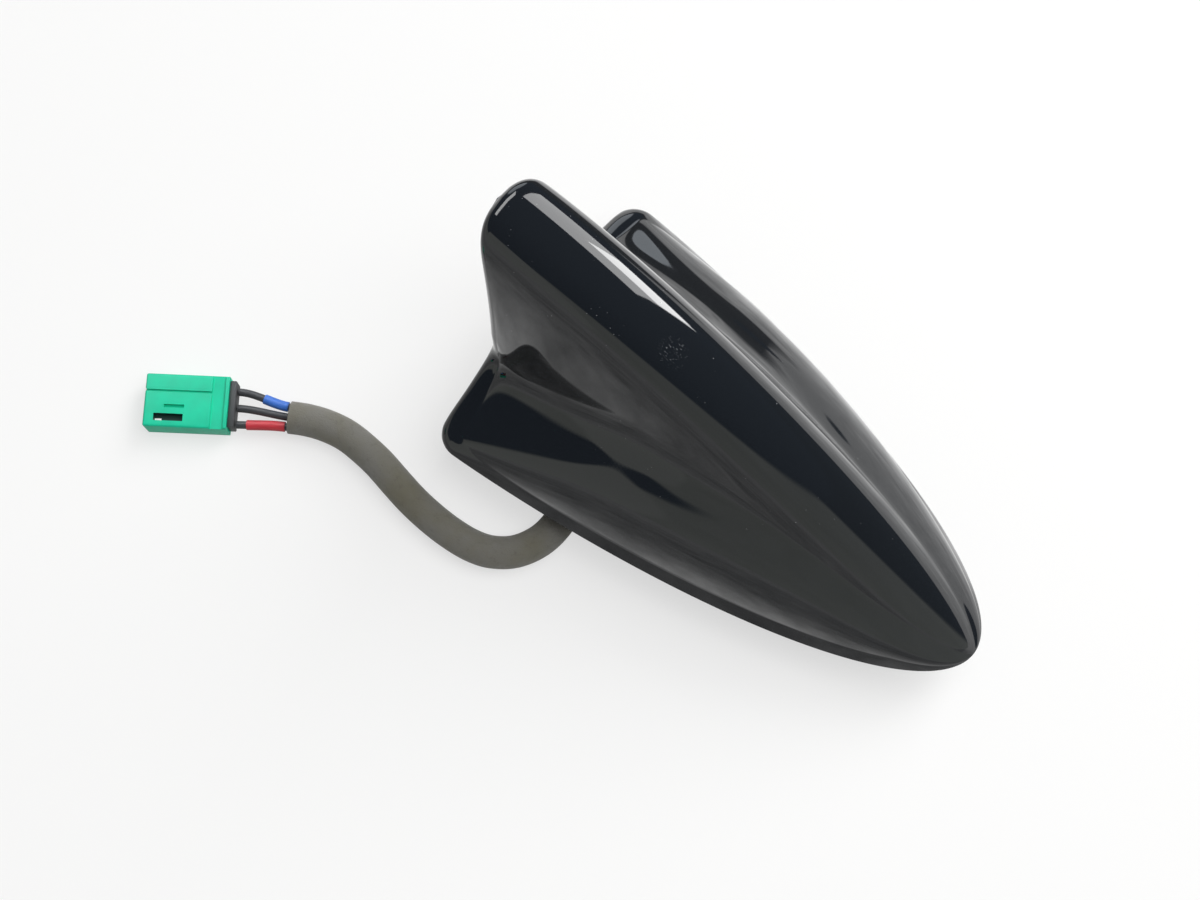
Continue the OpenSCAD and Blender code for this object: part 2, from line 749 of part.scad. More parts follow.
module loading_coil() {
    steps = 14;
    mid_r = former_r + coil_wire_r + 0.15;
    low = 1.5 + coil_wire_r + 0.1;
    rise = coil_l - 2*coil_wire_r - 0.2;
    path = [for (i = [0 : coil_turns*steps])
        [mid_r*cos(360*i/steps), mid_r*sin(360*i/steps), low + rise*i/(coil_turns*steps)]];
    color([0.72, 0.42, 0.2])
    translate([nose_x - coil_u, 0, board_z]) tube(path, coil_wire_r, 6, [0, 0, 1]);
}

// Three wires from the grommet over the main board to their clamps
module inner_leads() {
    top = board_z + coax_d/2 + 0.1;
    start = plate_z + grommet_flange_h + 0.1;
    color([0.1, 0.1, 0.1])
    for (y = lead_y)
        tube(smooth([
            [lead_x, y, start], [lead_x, y, start + 2.5], [lead_x - 1.5, y, start + 5],
            [lead_x - 4.5, y, start + 6], [lead_x - 8, y, start + 5],
            [lead_x - 12, y, top + 0.8], [lead_x - 16, y, top], [clamp_x - 2, y, top]
        ], 2), coax_d/2, 8, [0, 1, 0]);
}

module lead_clamps() {
    color([0.8, 0.8, 0.82])
    for (y = lead_y) translate([clamp_x, y, board_z]) difference() {
        translate([-1.2, -1.25, 0]) cube([2.4, 2.5, coax_d + 0.6]);
        translate([-3, 0, coax_d/2 + 0.1]) rotate([0, 90, 0]) cylinder(r = coax_d/2 + 0.05, h = 6, $fn = 32);
    }
}

// Rubber elbow where the lead leaves the foot
module cable_grommet() {
    color([0.09, 0.09, 0.09]) {
        translate([grommet_at[0], grommet_at[1], -block_h + 1.5])
            linear_extrude(block_h - 1.5 + seal_t)
            rounded([-grommet_l/2, -grommet_l/2], [grommet_l/2, grommet_l/2], 2);
        translate([grommet_at[0], grommet_at[1], seal_t]) cylinder(r = grommet_neck_r, h = plate_t, $fn = 64);
        translate([grommet_at[0], grommet_at[1], plate_z])
            cylinder(r = grommet_neck_r + 1, h = grommet_flange_h, $fn = 64);
    }
}

module cable_sleeve() {
    color([0.23, 0.22, 0.19])
    tube(smooth(sleeve_route, 1), sleeve_d/2, 12, [0, 0, 1]);
}

// Start of a wire at the sleeve's end, lane places to its left as it leaves
function lane_start(lane) =
    sleeve_end + lane_gap*[cos(sleeve_turn), sin(sleeve_turn), 0]
    + lane*coax_fan*[sin(sleeve_turn), -cos(sleeve_turn), 0];
// End of that wire at the plug
function lane_end(lane) =
    [
        plug_at[0] + (retainer_t + lane_gap)*cos(plug_turn) - (plug_shift + lane*plug_pitch)*sin(plug_turn),
        plug_at[1] + (retainer_t + lane_gap)*sin(plug_turn) + (plug_shift + lane*plug_pitch)*cos(plug_turn),
        plug_wire_z
    ];

module coax(lane) {
    a = lane_start(lane);
    b = lane_end(lane);
    tube([a, (2*a + b)/3, (a + 2*b)/3, b], coax_d/2, 8, [0, 0, 1]);
}

module navigation_coax() {
    color([0.12, 0.12, 0.13]) coax(1);
}

module radio_coax() {
    color([0.12, 0.12, 0.13]) coax(0);
}

module satellite_coax() {
    color([0.12, 0.12, 0.13]) coax(-1);
}

// Coloured tube pushed over a wire, up against the sleeve
module marker(lane, length) {
    bore_r = coax_d/2 + 0.05;
    way = unit(lane_end(lane) - lane_start(lane));
    translate(lane_start(lane)) rotate([0, acos(way[2]), atan2(way[1], way[0])]) difference() {
        translate([0, 0, 0.3]) cylinder(r = bore_r + marker_t, h = length, $fn = 40);
        cylinder(r = bore_r, h = length + 1, $fn = 40);
    }
}

module blue_marker() {
    color([0.1, 0.3, 0.75]) marker(1, blue_l);
}

module red_marker() {
    color([0.75, 0.12, 0.14]) marker(-1, red_l);
}

// Frame of the plug: +X toward its wires, on the table
module at_plug() {
    translate([plug_at[0], plug_at[1], table_z]) rotate([0, 0, plug_turn]) children();
}

module at_cavities() {
    for (lane = [-1 : 1])
        translate([0, plug_shift + lane*plug_pitch, plug_h/2]) rotate([0, -90, 0]) children();
}

module plug_housing() {
    neck_edge = 0.8;
    slot_back = 2.5;
    mark = [4.8, 0.8, 0.8];
    mark_y = -1.8;
    color([0.1, 0.62, 0.42])
    at_plug() difference() {
        translate([-plug_l, -plug_w/2, 0]) cube([plug_l, plug_w, plug_h]);
        translate([-plug_l - 1, groove_y, plug_h - plug_step])
            cube([plug_l - plug_neck + 1, groove_w, 1]);
        translate([-plug_neck, -plug_w/2 - 1, plug_h - plug_step])
            cube([plug_neck - neck_edge, plug_w + 2, 1]);
        translate([-plug_l + slot_back, -slot_y - slot_w/2, plug_h - slot_depth])
            cube([slot_l, slot_w, slot_depth + 1]);
        translate([-plug_l + mark[0], mark_y, plug_h - mark[2]]) cube([mark[0], mark[1], mark[2] + 1]);
        at_cavities() translate([0, 0, -1]) cylinder(r = cavity_r, h = plug_l + 2, $fn = 32);
    }
}

module plug_retainer() {
    inset = [0.8, 1];
    color([0.2, 0.2, 0.21])
    at_plug() translate([0, -plug_w/2 + inset[0], inset[1]])
        cube([retainer_t, plug_w - 2*inset[0], plug_h - 2*inset[1]]);
}

module plug_terminals() {
    color([0.8, 0.75, 0.5])
    at_plug() at_cavities() translate([0, 0, 2]) difference() {
        cylinder(r = contact_r, h = plug_l - 3, $fn = 32);
        translate([0, 0, plug_l - 9]) cylinder(r = contact_r - 0.5, h = 8, $fn = 32);
    }
}

fin_cover();
rim_seal();
base_plate();
inner_seal();
cover_screws();
main_board();
board_screws();
front_patch();
rear_patch();
feed_pins();
shield_can();
amplifier_chips();
fin_board();
fin_brackets();
top_plate();
coil_former();
loading_coil();
inner_leads();
lead_clamps();
cable_grommet();
cable_sleeve();
navigation_coax();
radio_coax();
satellite_coax();
blue_marker();
red_marker();
plug_housing();
plug_retainer();
plug_terminals();
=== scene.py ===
"""Looks of the shark fin roof aerial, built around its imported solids.

Every size is in millimetres in the classes below and becomes metres when a mesh is made. The frame is the
part's own: +X to the nose, +Y to the left side, +Z up, with the origin on the fixing bolt's axis in the
plane of the roof.
"""

import logging
import math
from dataclasses import dataclass, field
from enum import Enum
from typing import Callable, Optional, Sequence

import bmesh
import bpy
from mathutils import Matrix, Vector


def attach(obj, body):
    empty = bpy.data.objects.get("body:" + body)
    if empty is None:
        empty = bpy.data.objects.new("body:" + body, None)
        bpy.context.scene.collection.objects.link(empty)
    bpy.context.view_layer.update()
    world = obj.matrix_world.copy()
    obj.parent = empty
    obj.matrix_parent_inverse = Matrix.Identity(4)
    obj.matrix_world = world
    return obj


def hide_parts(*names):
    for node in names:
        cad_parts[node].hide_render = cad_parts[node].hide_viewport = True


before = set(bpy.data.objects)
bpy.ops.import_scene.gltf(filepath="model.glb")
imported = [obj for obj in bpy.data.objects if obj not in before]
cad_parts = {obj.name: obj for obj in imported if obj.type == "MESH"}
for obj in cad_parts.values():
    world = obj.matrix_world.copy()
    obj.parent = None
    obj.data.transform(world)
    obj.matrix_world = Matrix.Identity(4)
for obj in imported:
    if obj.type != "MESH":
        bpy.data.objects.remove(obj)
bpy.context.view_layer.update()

MM = 0.001
ROOT = "root"
logging.basicConfig(level=logging.INFO, format="%(name)s: %(message)s")
log = logging.getLogger("aerial")

Colour = tuple[float, float, float]
Point = tuple[float, float, float]
# The wire end of the plug on the table, and the plug's turn about the upright in degrees
PLUG_AT: Point = (-95.5, -61.5, -12.0)
PLUG_TURN = 36.0


class Slot(Enum):
    """The material slots."""

    COVER = "cover_gloss"
    SEAL = "seal_rubber"
    CAST = "die_cast"
    SCREW = "screw_steel"
    BOARD = "board_green"
    CERAMIC = "patch_ceramic"
    TIN = "tin_plate"
    CHIP = "chip_black"
    FORMER = "former_plastic"
    COPPER = "copper_wire"
    GROMMET = "grommet_rubber"
    SLEEVE = "sleeve_foam"
    COAX = "coax_jacket"
    BLUE = "marker_blue"
    RED = "marker_red"
    PLUG = "plug_green"
    RETAINER = "retainer_grey"
    TERMINAL = "terminal_brass"


class Graph:
    """A material's node tree, with a short way to add and join nodes."""

    def __init__(self, name: str) -> None:
        """Starts an empty node material with a Principled surface.

        Args:
            name: the material's name.
        """
        self.material = bpy.data.materials.new(name)
        self.material.use_nodes = True
        self.tree = self.material.node_tree
        self.tree.nodes.clear()
        self.output = self.tree.nodes.new("ShaderNodeOutputMaterial")
        self.surface = self.tree.nodes.new("ShaderNodeBsdfPrincipled")
        self.join(self.surface.outputs["BSDF"], self.output.inputs["Surface"])
        self.place = self.node("ShaderNodeTexCoord").outputs["Object"]

    def node(self, kind: str, **settings: object) -> bpy.types.Node:
        """Adds a node and sets its plain properties."""
        made = self.tree.nodes.new(kind)
        for key, value in settings.items():
            setattr(made, key, value)
        return made

    def join(self, source: bpy.types.NodeSocket, target: bpy.types.NodeSocket) -> None:
        """Links one socket to another."""
        self.tree.links.new(source, target)

    def set(self, **values: object) -> None:
        """Sets the Principled shader's own sockets; an underscore in a name stands for a space."""
        for key, value in values.items():
            self.surface.inputs[key.replace("_", " ")].default_value = value

    def noise(self, per_metre: float, detail: float = 3.0, rough: float = 0.5,
              stretch: Optional[Point] = None) -> bpy.types.NodeSocket:
        """Noise over the piece.

        Args:
            per_metre: how fine the noise is.
            detail: number of finer layers.
            rough: strength of the finer layers.
            stretch: scale of the pattern along each axis, or None.

        Returns:
            The noise's value socket.
        """
        made = self.node("ShaderNodeTexNoise")
        made.inputs["Scale"].default_value = per_metre
        made.inputs["Detail"].default_value = detail
        made.inputs["Roughness"].default_value = rough
        place = self.place
        if stretch:
            mapping = self.node("ShaderNodeMapping")
            mapping.inputs["Scale"].default_value = stretch
            self.join(place, mapping.inputs["Vector"])
            place = mapping.outputs["Vector"]
        self.join(place, made.inputs["Vector"])
        return made.outputs["Fac"]

    def span(self, source: bpy.types.NodeSocket, low: float, high: float,
             to_low: float = 0.0, to_high: float = 1.0, smooth: bool = False) -> bpy.types.NodeSocket:
        """Maps a range of a value to another range, clamped."""
        made = self.node("ShaderNodeMapRange", interpolation_type="SMOOTHSTEP" if smooth else "LINEAR")
        for key, value in (("From Min", low), ("From Max", high), ("To Min", to_low), ("To Max", to_high)):
            made.inputs[key].default_value = value
        self.join(source, made.inputs["Value"])
        return made.outputs["Result"]

    def maths(self, operation: str, first: object, second: object) -> bpy.types.NodeSocket:
        """Joins two values, each a socket or a number, by one operation."""
        made = self.node("ShaderNodeMath", operation=operation)
        for value, target in zip((first, second), made.inputs):
            if isinstance(value, (int, float)):
                target.default_value = value
            else:
                self.join(value, target)
        return made.outputs["Value"]

    def mix(self, share: bpy.types.NodeSocket, first: object, second: object) -> bpy.types.NodeSocket:
        """Mixes two colours, each a socket or three numbers, by a share."""
        made = self.node("ShaderNodeMix", data_type="RGBA")
        self.join(share, made.inputs["Factor"])
        for value, target in ((first, made.inputs["A"]), (second, made.inputs["B"])):
            if isinstance(value, tuple):
                target.default_value = (*value, 1.0)
            else:
                self.join(value, target)
        return made.outputs["Result"]

    def colour(self, source: bpy.types.NodeSocket) -> None:
        """Leads a colour to the shader's base colour."""
        self.join(source, self.surface.inputs["Base Color"])

    def roughness(self, source: bpy.types.NodeSocket) -> None:
        """Leads a value to the shader's roughness."""
        self.join(source, self.surface.inputs["Roughness"])

    def bump(self, height: bpy.types.NodeSocket, depth_mm: float, strength: float = 1.0,
             coat: bool = False) -> None:
        """Leads a height to the shader's normal.

        Args:
            height: a value from 0 to 1.
            depth_mm: how deep the whole height is.
            strength: how much of it shows.
            coat: whether the coat takes the same normal.
        """
        made = self.node("ShaderNodeBump")
        made.inputs["Strength"].default_value = strength
        made.inputs["Distance"].default_value = depth_mm * MM
        self.join(height, made.inputs["Height"])
        self.join(made.outputs["Normal"], self.surface.inputs["Normal"])
        if coat:
            self.join(made.outputs["Normal"], self.surface.inputs["Coat Normal"])


@dataclass(frozen=True)
class PlainFinish:
    """A moulded, cast or plated surface with a fine grain and slight unevenness of colour."""

    name: str
    base: Colour
    shade: float = 0.8
    gloss: tuple[float, float] = (0.4, 0.55)
    grain_mm: float = 0.4
    grain_depth_mm: float = 0.01
    patch_mm: float = 12.0
    metallic: float = 0.0
    specular: float = 0.5

    def material(self) -> bpy.types.Material:
        """Makes the node material."""
        graph = Graph(self.name)
        graph.set(Metallic=self.metallic, Specular_IOR_Level=self.specular)
        patches = graph.noise(1 / (self.patch_mm * MM), 4)
        darker = tuple(channel * self.shade for channel in self.base)
        graph.colour(graph.mix(graph.span(patches, 0.3, 0.7), darker, self.base))
        graph.roughness(graph.span(patches, 0.3, 0.7, *self.gloss))
        graph.bump(graph.noise(1 / (self.grain_mm * MM), 2), self.grain_depth_mm)
        return graph.material


@dataclass(frozen=True)
class GlossCoverFinish:
    """Blue-black gloss with a thin haze, fine dust along the crest and one scuff."""

    name: str = "cover_gloss"
    base: Colour = (0.007, 0.0085, 0.0105)
    dust: Colour = (0.55, 0.56, 0.58)
    clean: float = 0.025
    hazy: float = 0.055
    haze_mm: float = 14.0
    speck_mm: float = 1.7
    speck_size: float = 0.075
    dust_patch_mm: float = 9.0
    dust_low_mm: float = 20.0
    dust_rise_mm: float = 12.0
    dull: float = 0.6
    scuff_at: Point = (-12.0, -2.0, 57.0)
    scuff_reach_mm: float = 5.0
    scratch_mm: float = 0.8

    def material(self) -> bpy.types.Material:
        """Makes the node material."""
        graph = Graph(self.name)
        graph.set(IOR=1.5)
        haze = graph.noise(1 / (self.haze_mm * MM), 5, 0.6)
        marks = graph.maths("MAXIMUM", self.specks(graph), self.scuff(graph))
        graph.colour(graph.mix(marks, self.base, self.dust))
        smooth = graph.span(haze, 0.35, 0.7, self.clean, self.hazy)
        graph.roughness(graph.maths("MAXIMUM", smooth, graph.maths("MULTIPLY", marks, self.dull)))
        return graph.material

    def specks(self, graph: Graph) -> bpy.types.NodeSocket:
        """Fine dust, thickest where the noise says and only high on the fin."""
        dots = graph.node("ShaderNodeTexVoronoi")
        dots.inputs["Scale"].default_value = 1 / (self.speck_mm * MM)
        graph.join(graph.place, dots.inputs["Vector"])
        dot = graph.span(dots.outputs["Distance"], self.speck_size, self.speck_size * 0.6)
        where = graph.span(graph.noise(1 / (self.dust_patch_mm * MM), 4, 0.65), 0.52, 0.7)
        parts = graph.node("ShaderNodeSeparateXYZ")
        graph.join(graph.place, parts.inputs["Vector"])
        full_mm = self.dust_low_mm + self.dust_rise_mm
        high = graph.span(parts.outputs["Z"], self.dust_low_mm * MM, full_mm * MM)
        return graph.maths("MULTIPLY", graph.maths("MULTIPLY", dot, where), high)

    def scuff(self, graph: Graph) -> bpy.types.NodeSocket:
        """A small patch of fine scratches."""
        apart = graph.node("ShaderNodeVectorMath", operation="DISTANCE")
        graph.join(graph.place, apart.inputs[0])
        apart.inputs[1].default_value = tuple(value * MM for value in self.scuff_at)
        near = graph.span(apart.outputs["Value"], self.scuff_reach_mm * MM, 0.0)
        lines = graph.span(graph.noise(1 / (self.scratch_mm * MM), 3, 0.8, (1.0, 3.0, 1.0)), 0.62, 0.7)
        return graph.maths("MULTIPLY", graph.span(near, 0.2, 0.7), lines)


@dataclass(frozen=True)
class SleeveFinish:
    """Dull padded sleeving, mottled grey and brown, with a fine felt-like surface."""

    name: str = "sleeve_foam"
    olive: Colour = (0.150, 0.142, 0.104)
    grey: Colour = (0.172, 0.168, 0.150)
    dark: Colour = (0.085, 0.081, 0.063)
    broad_mm: float = 11.0
    fine_mm: float = 1.6
    felt_mm: float = 0.35
    felt_depth_mm: float = 0.14

    def material(self) -> bpy.types.Material:
        """Makes the node material."""
        graph = Graph(self.name)
        graph.set(Sheen_Weight=0.25, Sheen_Roughness=0.6, Specular_IOR_Level=0.25)
        broad = graph.noise(1 / (self.broad_mm * MM), 4, 0.6)
        fine = graph.noise(1 / (self.fine_mm * MM), 4, 0.7)
        mottled = graph.mix(graph.span(broad, 0.35, 0.65), self.olive, self.grey)
        graph.colour(graph.mix(graph.span(fine, 0.55, 0.75, 0.0, 0.5), mottled, self.dark))
        graph.roughness(graph.span(fine, 0.3, 0.7, 0.8, 0.95))
        felt = graph.maths("ADD", graph.maths("MULTIPLY", fine, 0.6), graph.noise(1 / (self.felt_mm * MM), 3))
        graph.bump(felt, self.felt_depth_mm)
        return graph.material


@dataclass(frozen=True)
class PlugFinish:
    """Green moulding, uneven by a shade, with painted shade in its slot and a painted glint at one contact's
    end there.
    """

    name: str = "plug_green"
    base: Colour = (0.006, 0.59, 0.345)
    worn: Colour = (0.011, 0.49, 0.29)
    # Painted shade: the colour of the slot's walls and floor, standing in for the dark of a deep opening
    inside: Colour = (0.012, 0.035, 0.03)
    # Painted glint at the slot's left end, on a contact's end
    painted_glint: Colour = (0.85, 0.86, 0.84)
    patch_mm: float = 6.0
    grain_mm: float = 0.35
    grain_depth_mm: float = 0.012
    # Boxes of the painted shade in the slot and of the painted glint, in the plug's own frame
    slot_from: Point = (-17.7, -5.3, 5.0)
    slot_to: Point = (-10.3, -3.1, 6.9)
    shine_from: Point = (-17.4, -5.3, 5.0)
    shine_to: Point = (-15.8, -4.3, 6.9)

    def material(self) -> bpy.types.Material:
        """Makes the node material."""
        graph = Graph(self.name)
        graph.set(Specular_IOR_Level=0.25)
        patches = graph.noise(1 / (self.patch_mm * MM), 4)
        green = graph.mix(graph.span(patches, 0.3, 0.7), self.worn, self.base)
        # Painted shade over the slot's walls and floor, then a painted glint at its left end
        dark = graph.mix(self.box(graph, self.slot_from, self.slot_to), green, self.inside)
        graph.colour(graph.mix(self.box(graph, self.shine_from, self.shine_to), dark, self.painted_glint))
        graph.roughness(graph.span(patches, 0.3, 0.7, 0.36, 0.5))
        graph.bump(graph.noise(1 / (self.grain_mm * MM), 2), self.grain_depth_mm)
        return graph.material

    def box(self, graph: Graph, low: Point, high: Point) -> bpy.types.NodeSocket:
        """1 inside a box that is given in the plug's own frame, and 0 outside."""
        own = graph.node("ShaderNodeMapping", vector_type="TEXTURE")
        own.inputs["Location"].default_value = tuple(value * MM for value in PLUG_AT)
        own.inputs["Rotation"].default_value = (0.0, 0.0, math.radians(PLUG_TURN))
        graph.join(graph.place, own.inputs["Vector"])
        parts = graph.node("ShaderNodeSeparateXYZ")
        graph.join(own.outputs["Vector"], parts.inputs["Vector"])
        inside: object = 1.0
        for axis, least, most in zip("XYZ", low, high):
            along = parts.outputs[axis]
            inside = graph.maths("MULTIPLY", inside, graph.maths("GREATER_THAN", along, least * MM))
            inside = graph.maths("MULTIPLY", inside, graph.maths("LESS_THAN", along, most * MM))
        return inside


@dataclass(frozen=True)
class BoardFinish:
    """Green solder mask over faint copper tracks."""

    name: str = "board_green"
    mask: Colour = (0.01, 0.085, 0.035)
    track: Colour = (0.02, 0.16, 0.07)
    pitch_mm: float = 5.0
    track_depth_mm: float = 0.03

    def material(self) -> bpy.types.Material:
        """Makes the node material."""
        graph = Graph(self.name)
        cells = graph.node("ShaderNodeTexVoronoi", distance="CHEBYCHEV", feature="DISTANCE_TO_EDGE")
        cells.inputs["Scale"].default_value = 1 / (self.pitch_mm * MM)
        graph.join(graph.place, cells.inputs["Vector"])
        track = graph.span(cells.outputs["Distance"], 0.1, 0.06)
        graph.colour(graph.mix(track, self.mask, self.track))
        graph.set(Roughness=0.3)
        graph.bump(track, self.track_depth_mm)
        return graph.material


FINISHES: dict[Slot, object] = {
    Slot.COVER: GlossCoverFinish(),
    Slot.SLEEVE: SleeveFinish(),
    Slot.BOARD: BoardFinish(),
    Slot.PLUG: PlugFinish(),
    Slot.SEAL: PlainFinish("seal_rubber", (0.018, 0.018, 0.019), 0.7, (0.55, 0.75)),
    Slot.CAST: PlainFinish("die_cast", (0.52, 0.53, 0.55), 0.85, (0.35, 0.5), 0.5, 0.03, 8.0, 1.0),
    Slot.SCREW: PlainFinish("screw_steel", (0.6, 0.6, 0.58), 0.85, (0.25, 0.35), 0.3, 0.006, 3.0, 1.0),
    Slot.CERAMIC: PlainFinish("patch_ceramic", (0.62, 0.55, 0.43), 0.92, (0.5, 0.6)),
    Slot.TIN: PlainFinish("tin_plate", (0.7, 0.7, 0.68), 0.85, (0.25, 0.4), 0.6, 0.008, 6.0, 1.0),
    Slot.CHIP: PlainFinish("chip_black", (0.015, 0.015, 0.016), 0.8, (0.5, 0.6), 0.2, 0.01, 3.0),
    Slot.FORMER: PlainFinish("former_plastic", (0.72, 0.69, 0.62), 0.92, (0.4, 0.5)),
    Slot.COPPER: PlainFinish("copper_wire", (0.78, 0.33, 0.14), 0.85, (0.2, 0.3), 0.3, 0.004, 4.0, 1.0),
    Slot.GROMMET: PlainFinish("grommet_rubber", (0.016, 0.016, 0.017), 0.75, (0.6, 0.75)),
    Slot.COAX: PlainFinish("coax_jacket", (0.045, 0.047, 0.051), 0.8, (0.4, 0.55), 0.5, 0.01, 5.0),
    Slot.BLUE: PlainFinish("marker_blue", (0.045, 0.17, 0.62), 0.85, (0.4, 0.5), 0.4, 0.01, 3.0),
    Slot.RED: PlainFinish("marker_red", (0.55, 0.035, 0.05), 0.85, (0.4, 0.5), 0.4, 0.01, 3.0),
    Slot.RETAINER: PlainFinish("retainer_grey", (0.045, 0.047, 0.05), 0.8, (0.45, 0.6)),
    Slot.TERMINAL: PlainFinish("terminal_brass", (0.76, 0.6, 0.3), 0.9, (0.2, 0.3), 0.3, 0.005, 2.0, 1.0),
}
MADE_MATERIALS: dict[Slot, bpy.types.Material] = {}


def material_of(slot: Slot) -> bpy.types.Material:
    """The slot's material, made on first use."""
    if slot not in MADE_MATERIALS:
        MADE_MATERIALS[slot] = FINISHES[slot].material()
    return MADE_MATERIALS[slot]


def piece_from(bm: bmesh.types.BMesh, name: str, slot: Slot, replaces: Sequence[str] = (),
               sharp_degrees: float = 35.0) -> bpy.types.Object:
    """Turns a bmesh in millimetres into a finished piece that rides on the part.

    Args:
        bm: the mesh, which is freed here.
        name: the piece's name.
        slot: the finish that it takes.
        replaces: names of the solids that it stands for.
        sharp_degrees: edges that bend more than this stay sharp.

    Returns:
        The new object.
    """
    bmesh.ops.scale(bm, vec=(MM, MM, MM), verts=bm.verts)
    for face in bm.faces:
        face.smooth = True
    for edge in bm.edges:
        edge.smooth = len(edge.link_faces) == 2 and edge.calc_face_angle(0) < math.radians(sharp_degrees)
    mesh = bpy.data.meshes.new(name)
    bm.to_mesh(mesh)
    bm.free()
    made = bpy.data.objects.new(name, mesh)
    bpy.context.scene.collection.objects.link(made)
    mesh.materials.append(material_of(slot))
    return settle(made, slot, replaces)


def settle(piece: bpy.types.Object, slot: Slot, replaces: Sequence[str]) -> bpy.types.Object:
    """Makes a piece ride on the part, names its slot and hides what it stands for."""
    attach(piece, ROOT)
    if replaces:
        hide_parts(*replaces)
    log.info("%s made, in %s", piece.name, slot.value)
    return piece


def copy_of_node(node: str, flat_degrees: float = 1.0) -> bmesh.types.BMesh:
    """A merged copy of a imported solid's mesh, in millimetres, with flat faces whole again."""
    bm = bmesh.new()
    bm.from_mesh(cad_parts[node].data)
    bmesh.ops.scale(bm, vec=(1 / MM, 1 / MM, 1 / MM), verts=bm.verts)
    bmesh.ops.remove_doubles(bm, verts=bm.verts, dist=0.002)
    bmesh.ops.dissolve_limit(bm, angle_limit=math.radians(flat_degrees), verts=bm.verts, edges=bm.edges)
    return bm


def soften(bm: bmesh.types.BMesh, width: float, over_degrees: float = 40.0, segments: int = 2,
           only: Optional[Callable[[bmesh.types.BMEdge], bool]] = None) -> None:
    """Rounds the sharp edges of a mesh.

    Args:
        bm: the mesh, in millimetres.
        width: width of the rounding.
        over_degrees: edges that bend more than this are rounded.
        segments: steps of the rounding.
        only: a further test for an edge, or None.
    """
    edges = [edge for edge in bm.edges
             if len(edge.link_faces) == 2 and edge.calc_face_angle(0) > math.radians(over_degrees)
             and (only is None or only(edge))]
    bmesh.ops.bevel(bm, geom=edges, offset=width, offset_type="OFFSET", segments=segments, profile=0.5,
                    affect="EDGES", clamp_overlap=True, material=-1)


def lerp(a: float, b: float, share: float) -> float:
    """The value a share of the way from a to b."""
    return a + (b - a) * share


def smoothstep(low: float, high: float, value: float) -> float:
    """0 below low, 1 above high, and a smooth rise between."""
    t = min(1.0, max(0.0, (value - low) / (high - low)))
    return t * t * (3 - 2 * t)


@dataclass
class PhotoCamera:
    """The camera at the photograph's viewing angle."""

    place: Point = (20.14, -96.33, 373.9)
    right: Point = (0.78922, 0.61181, 0.05308)
    up: Point = (-0.60638, 0.76271, 0.22489)
    lens_mm: float = 48.0
    sensor_mm: float = 36.0

    def build(self) -> bpy.types.Object:
        """Makes the camera and gives it to the scene."""
        data = bpy.data.cameras.new("photo_camera")
        data.lens = self.lens_mm
        data.sensor_width = self.sensor_mm
        data.sensor_fit = "HORIZONTAL"
        data.clip_start = 0.01
        camera = bpy.data.objects.new("photo_camera", data)
        bpy.context.scene.collection.objects.link(camera)
        right = Vector(self.right).normalized()
        back = right.cross(Vector(self.up)).normalized()
        up = back.cross(right)
        turn = Matrix((right, up, back)).transposed().to_4x4()
        camera.matrix_world = Matrix.Translation(Vector(self.place) * MM) @ turn
        bpy.context.scene.camera = camera
        return camera


@dataclass
class Plug:
    """The flat green plug, its retainer and its contacts."""

    at: Point = PLUG_AT
    turn: float = PLUG_TURN
    length: float = 20.0
    width: float = 13.2
    height: float = 7.0
    lane_shift: float = -0.5
    pitch: float = 4.1
    edge_r: float = 0.35
    corner_r: float = 0.8
    strip_r: float = 0.25
    neck_step: float = 0.5
    touch: float = 0.01

    def to_part(self) -> Matrix:
        """The matrix from the plug's own frame, with +X to its wires, to the part's."""
        return Matrix.Translation(self.at) @ Matrix.Rotation(math.radians(self.turn), 4, "Z")

    def build(self) -> list[bpy.types.Object]:
        """Makes the plug's pieces."""
        return [self.housing(), self.retainer(), self.terminals()]

    def housing(self) -> bpy.types.Object:
        """The moulded housing with rounded edges."""
        bm = copy_of_node("plug_housing")
        soften(bm, self.corner_r, 60, 4, self.is_outer)
        soften(bm, self.edge_r, 60, 2)
        return piece_from(bm, "plug_body", Slot.PLUG, ["plug_housing"])

    def is_outer(self, edge: bmesh.types.BMEdge) -> bool:
        """Whether an edge is one of the housing's outer corners, seen in the plug's own frame."""
        middle = self.to_part().inverted() @ ((edge.verts[0].co + edge.verts[1].co) / 2)
        near = (middle.x < self.touch - self.length, abs(middle.y) > self.width / 2 - self.touch,
                middle.z < self.touch or middle.z > self.height - self.neck_step)
        return sum(near) >= 2

    def retainer(self) -> bpy.types.Object:
        """The dark strip that holds the contacts in."""
        bm = copy_of_node("plug_retainer")
        soften(bm, self.strip_r, 60, 2)
        return piece_from(bm, "plug_retaining_strip", Slot.RETAINER, ["plug_retainer"])

    def terminals(self) -> bpy.types.Object:
        """The contacts in their cavities."""
        bm = copy_of_node("plug_terminals")
        return piece_from(bm, "plug_contacts", Slot.TERMINAL, ["plug_terminals"])


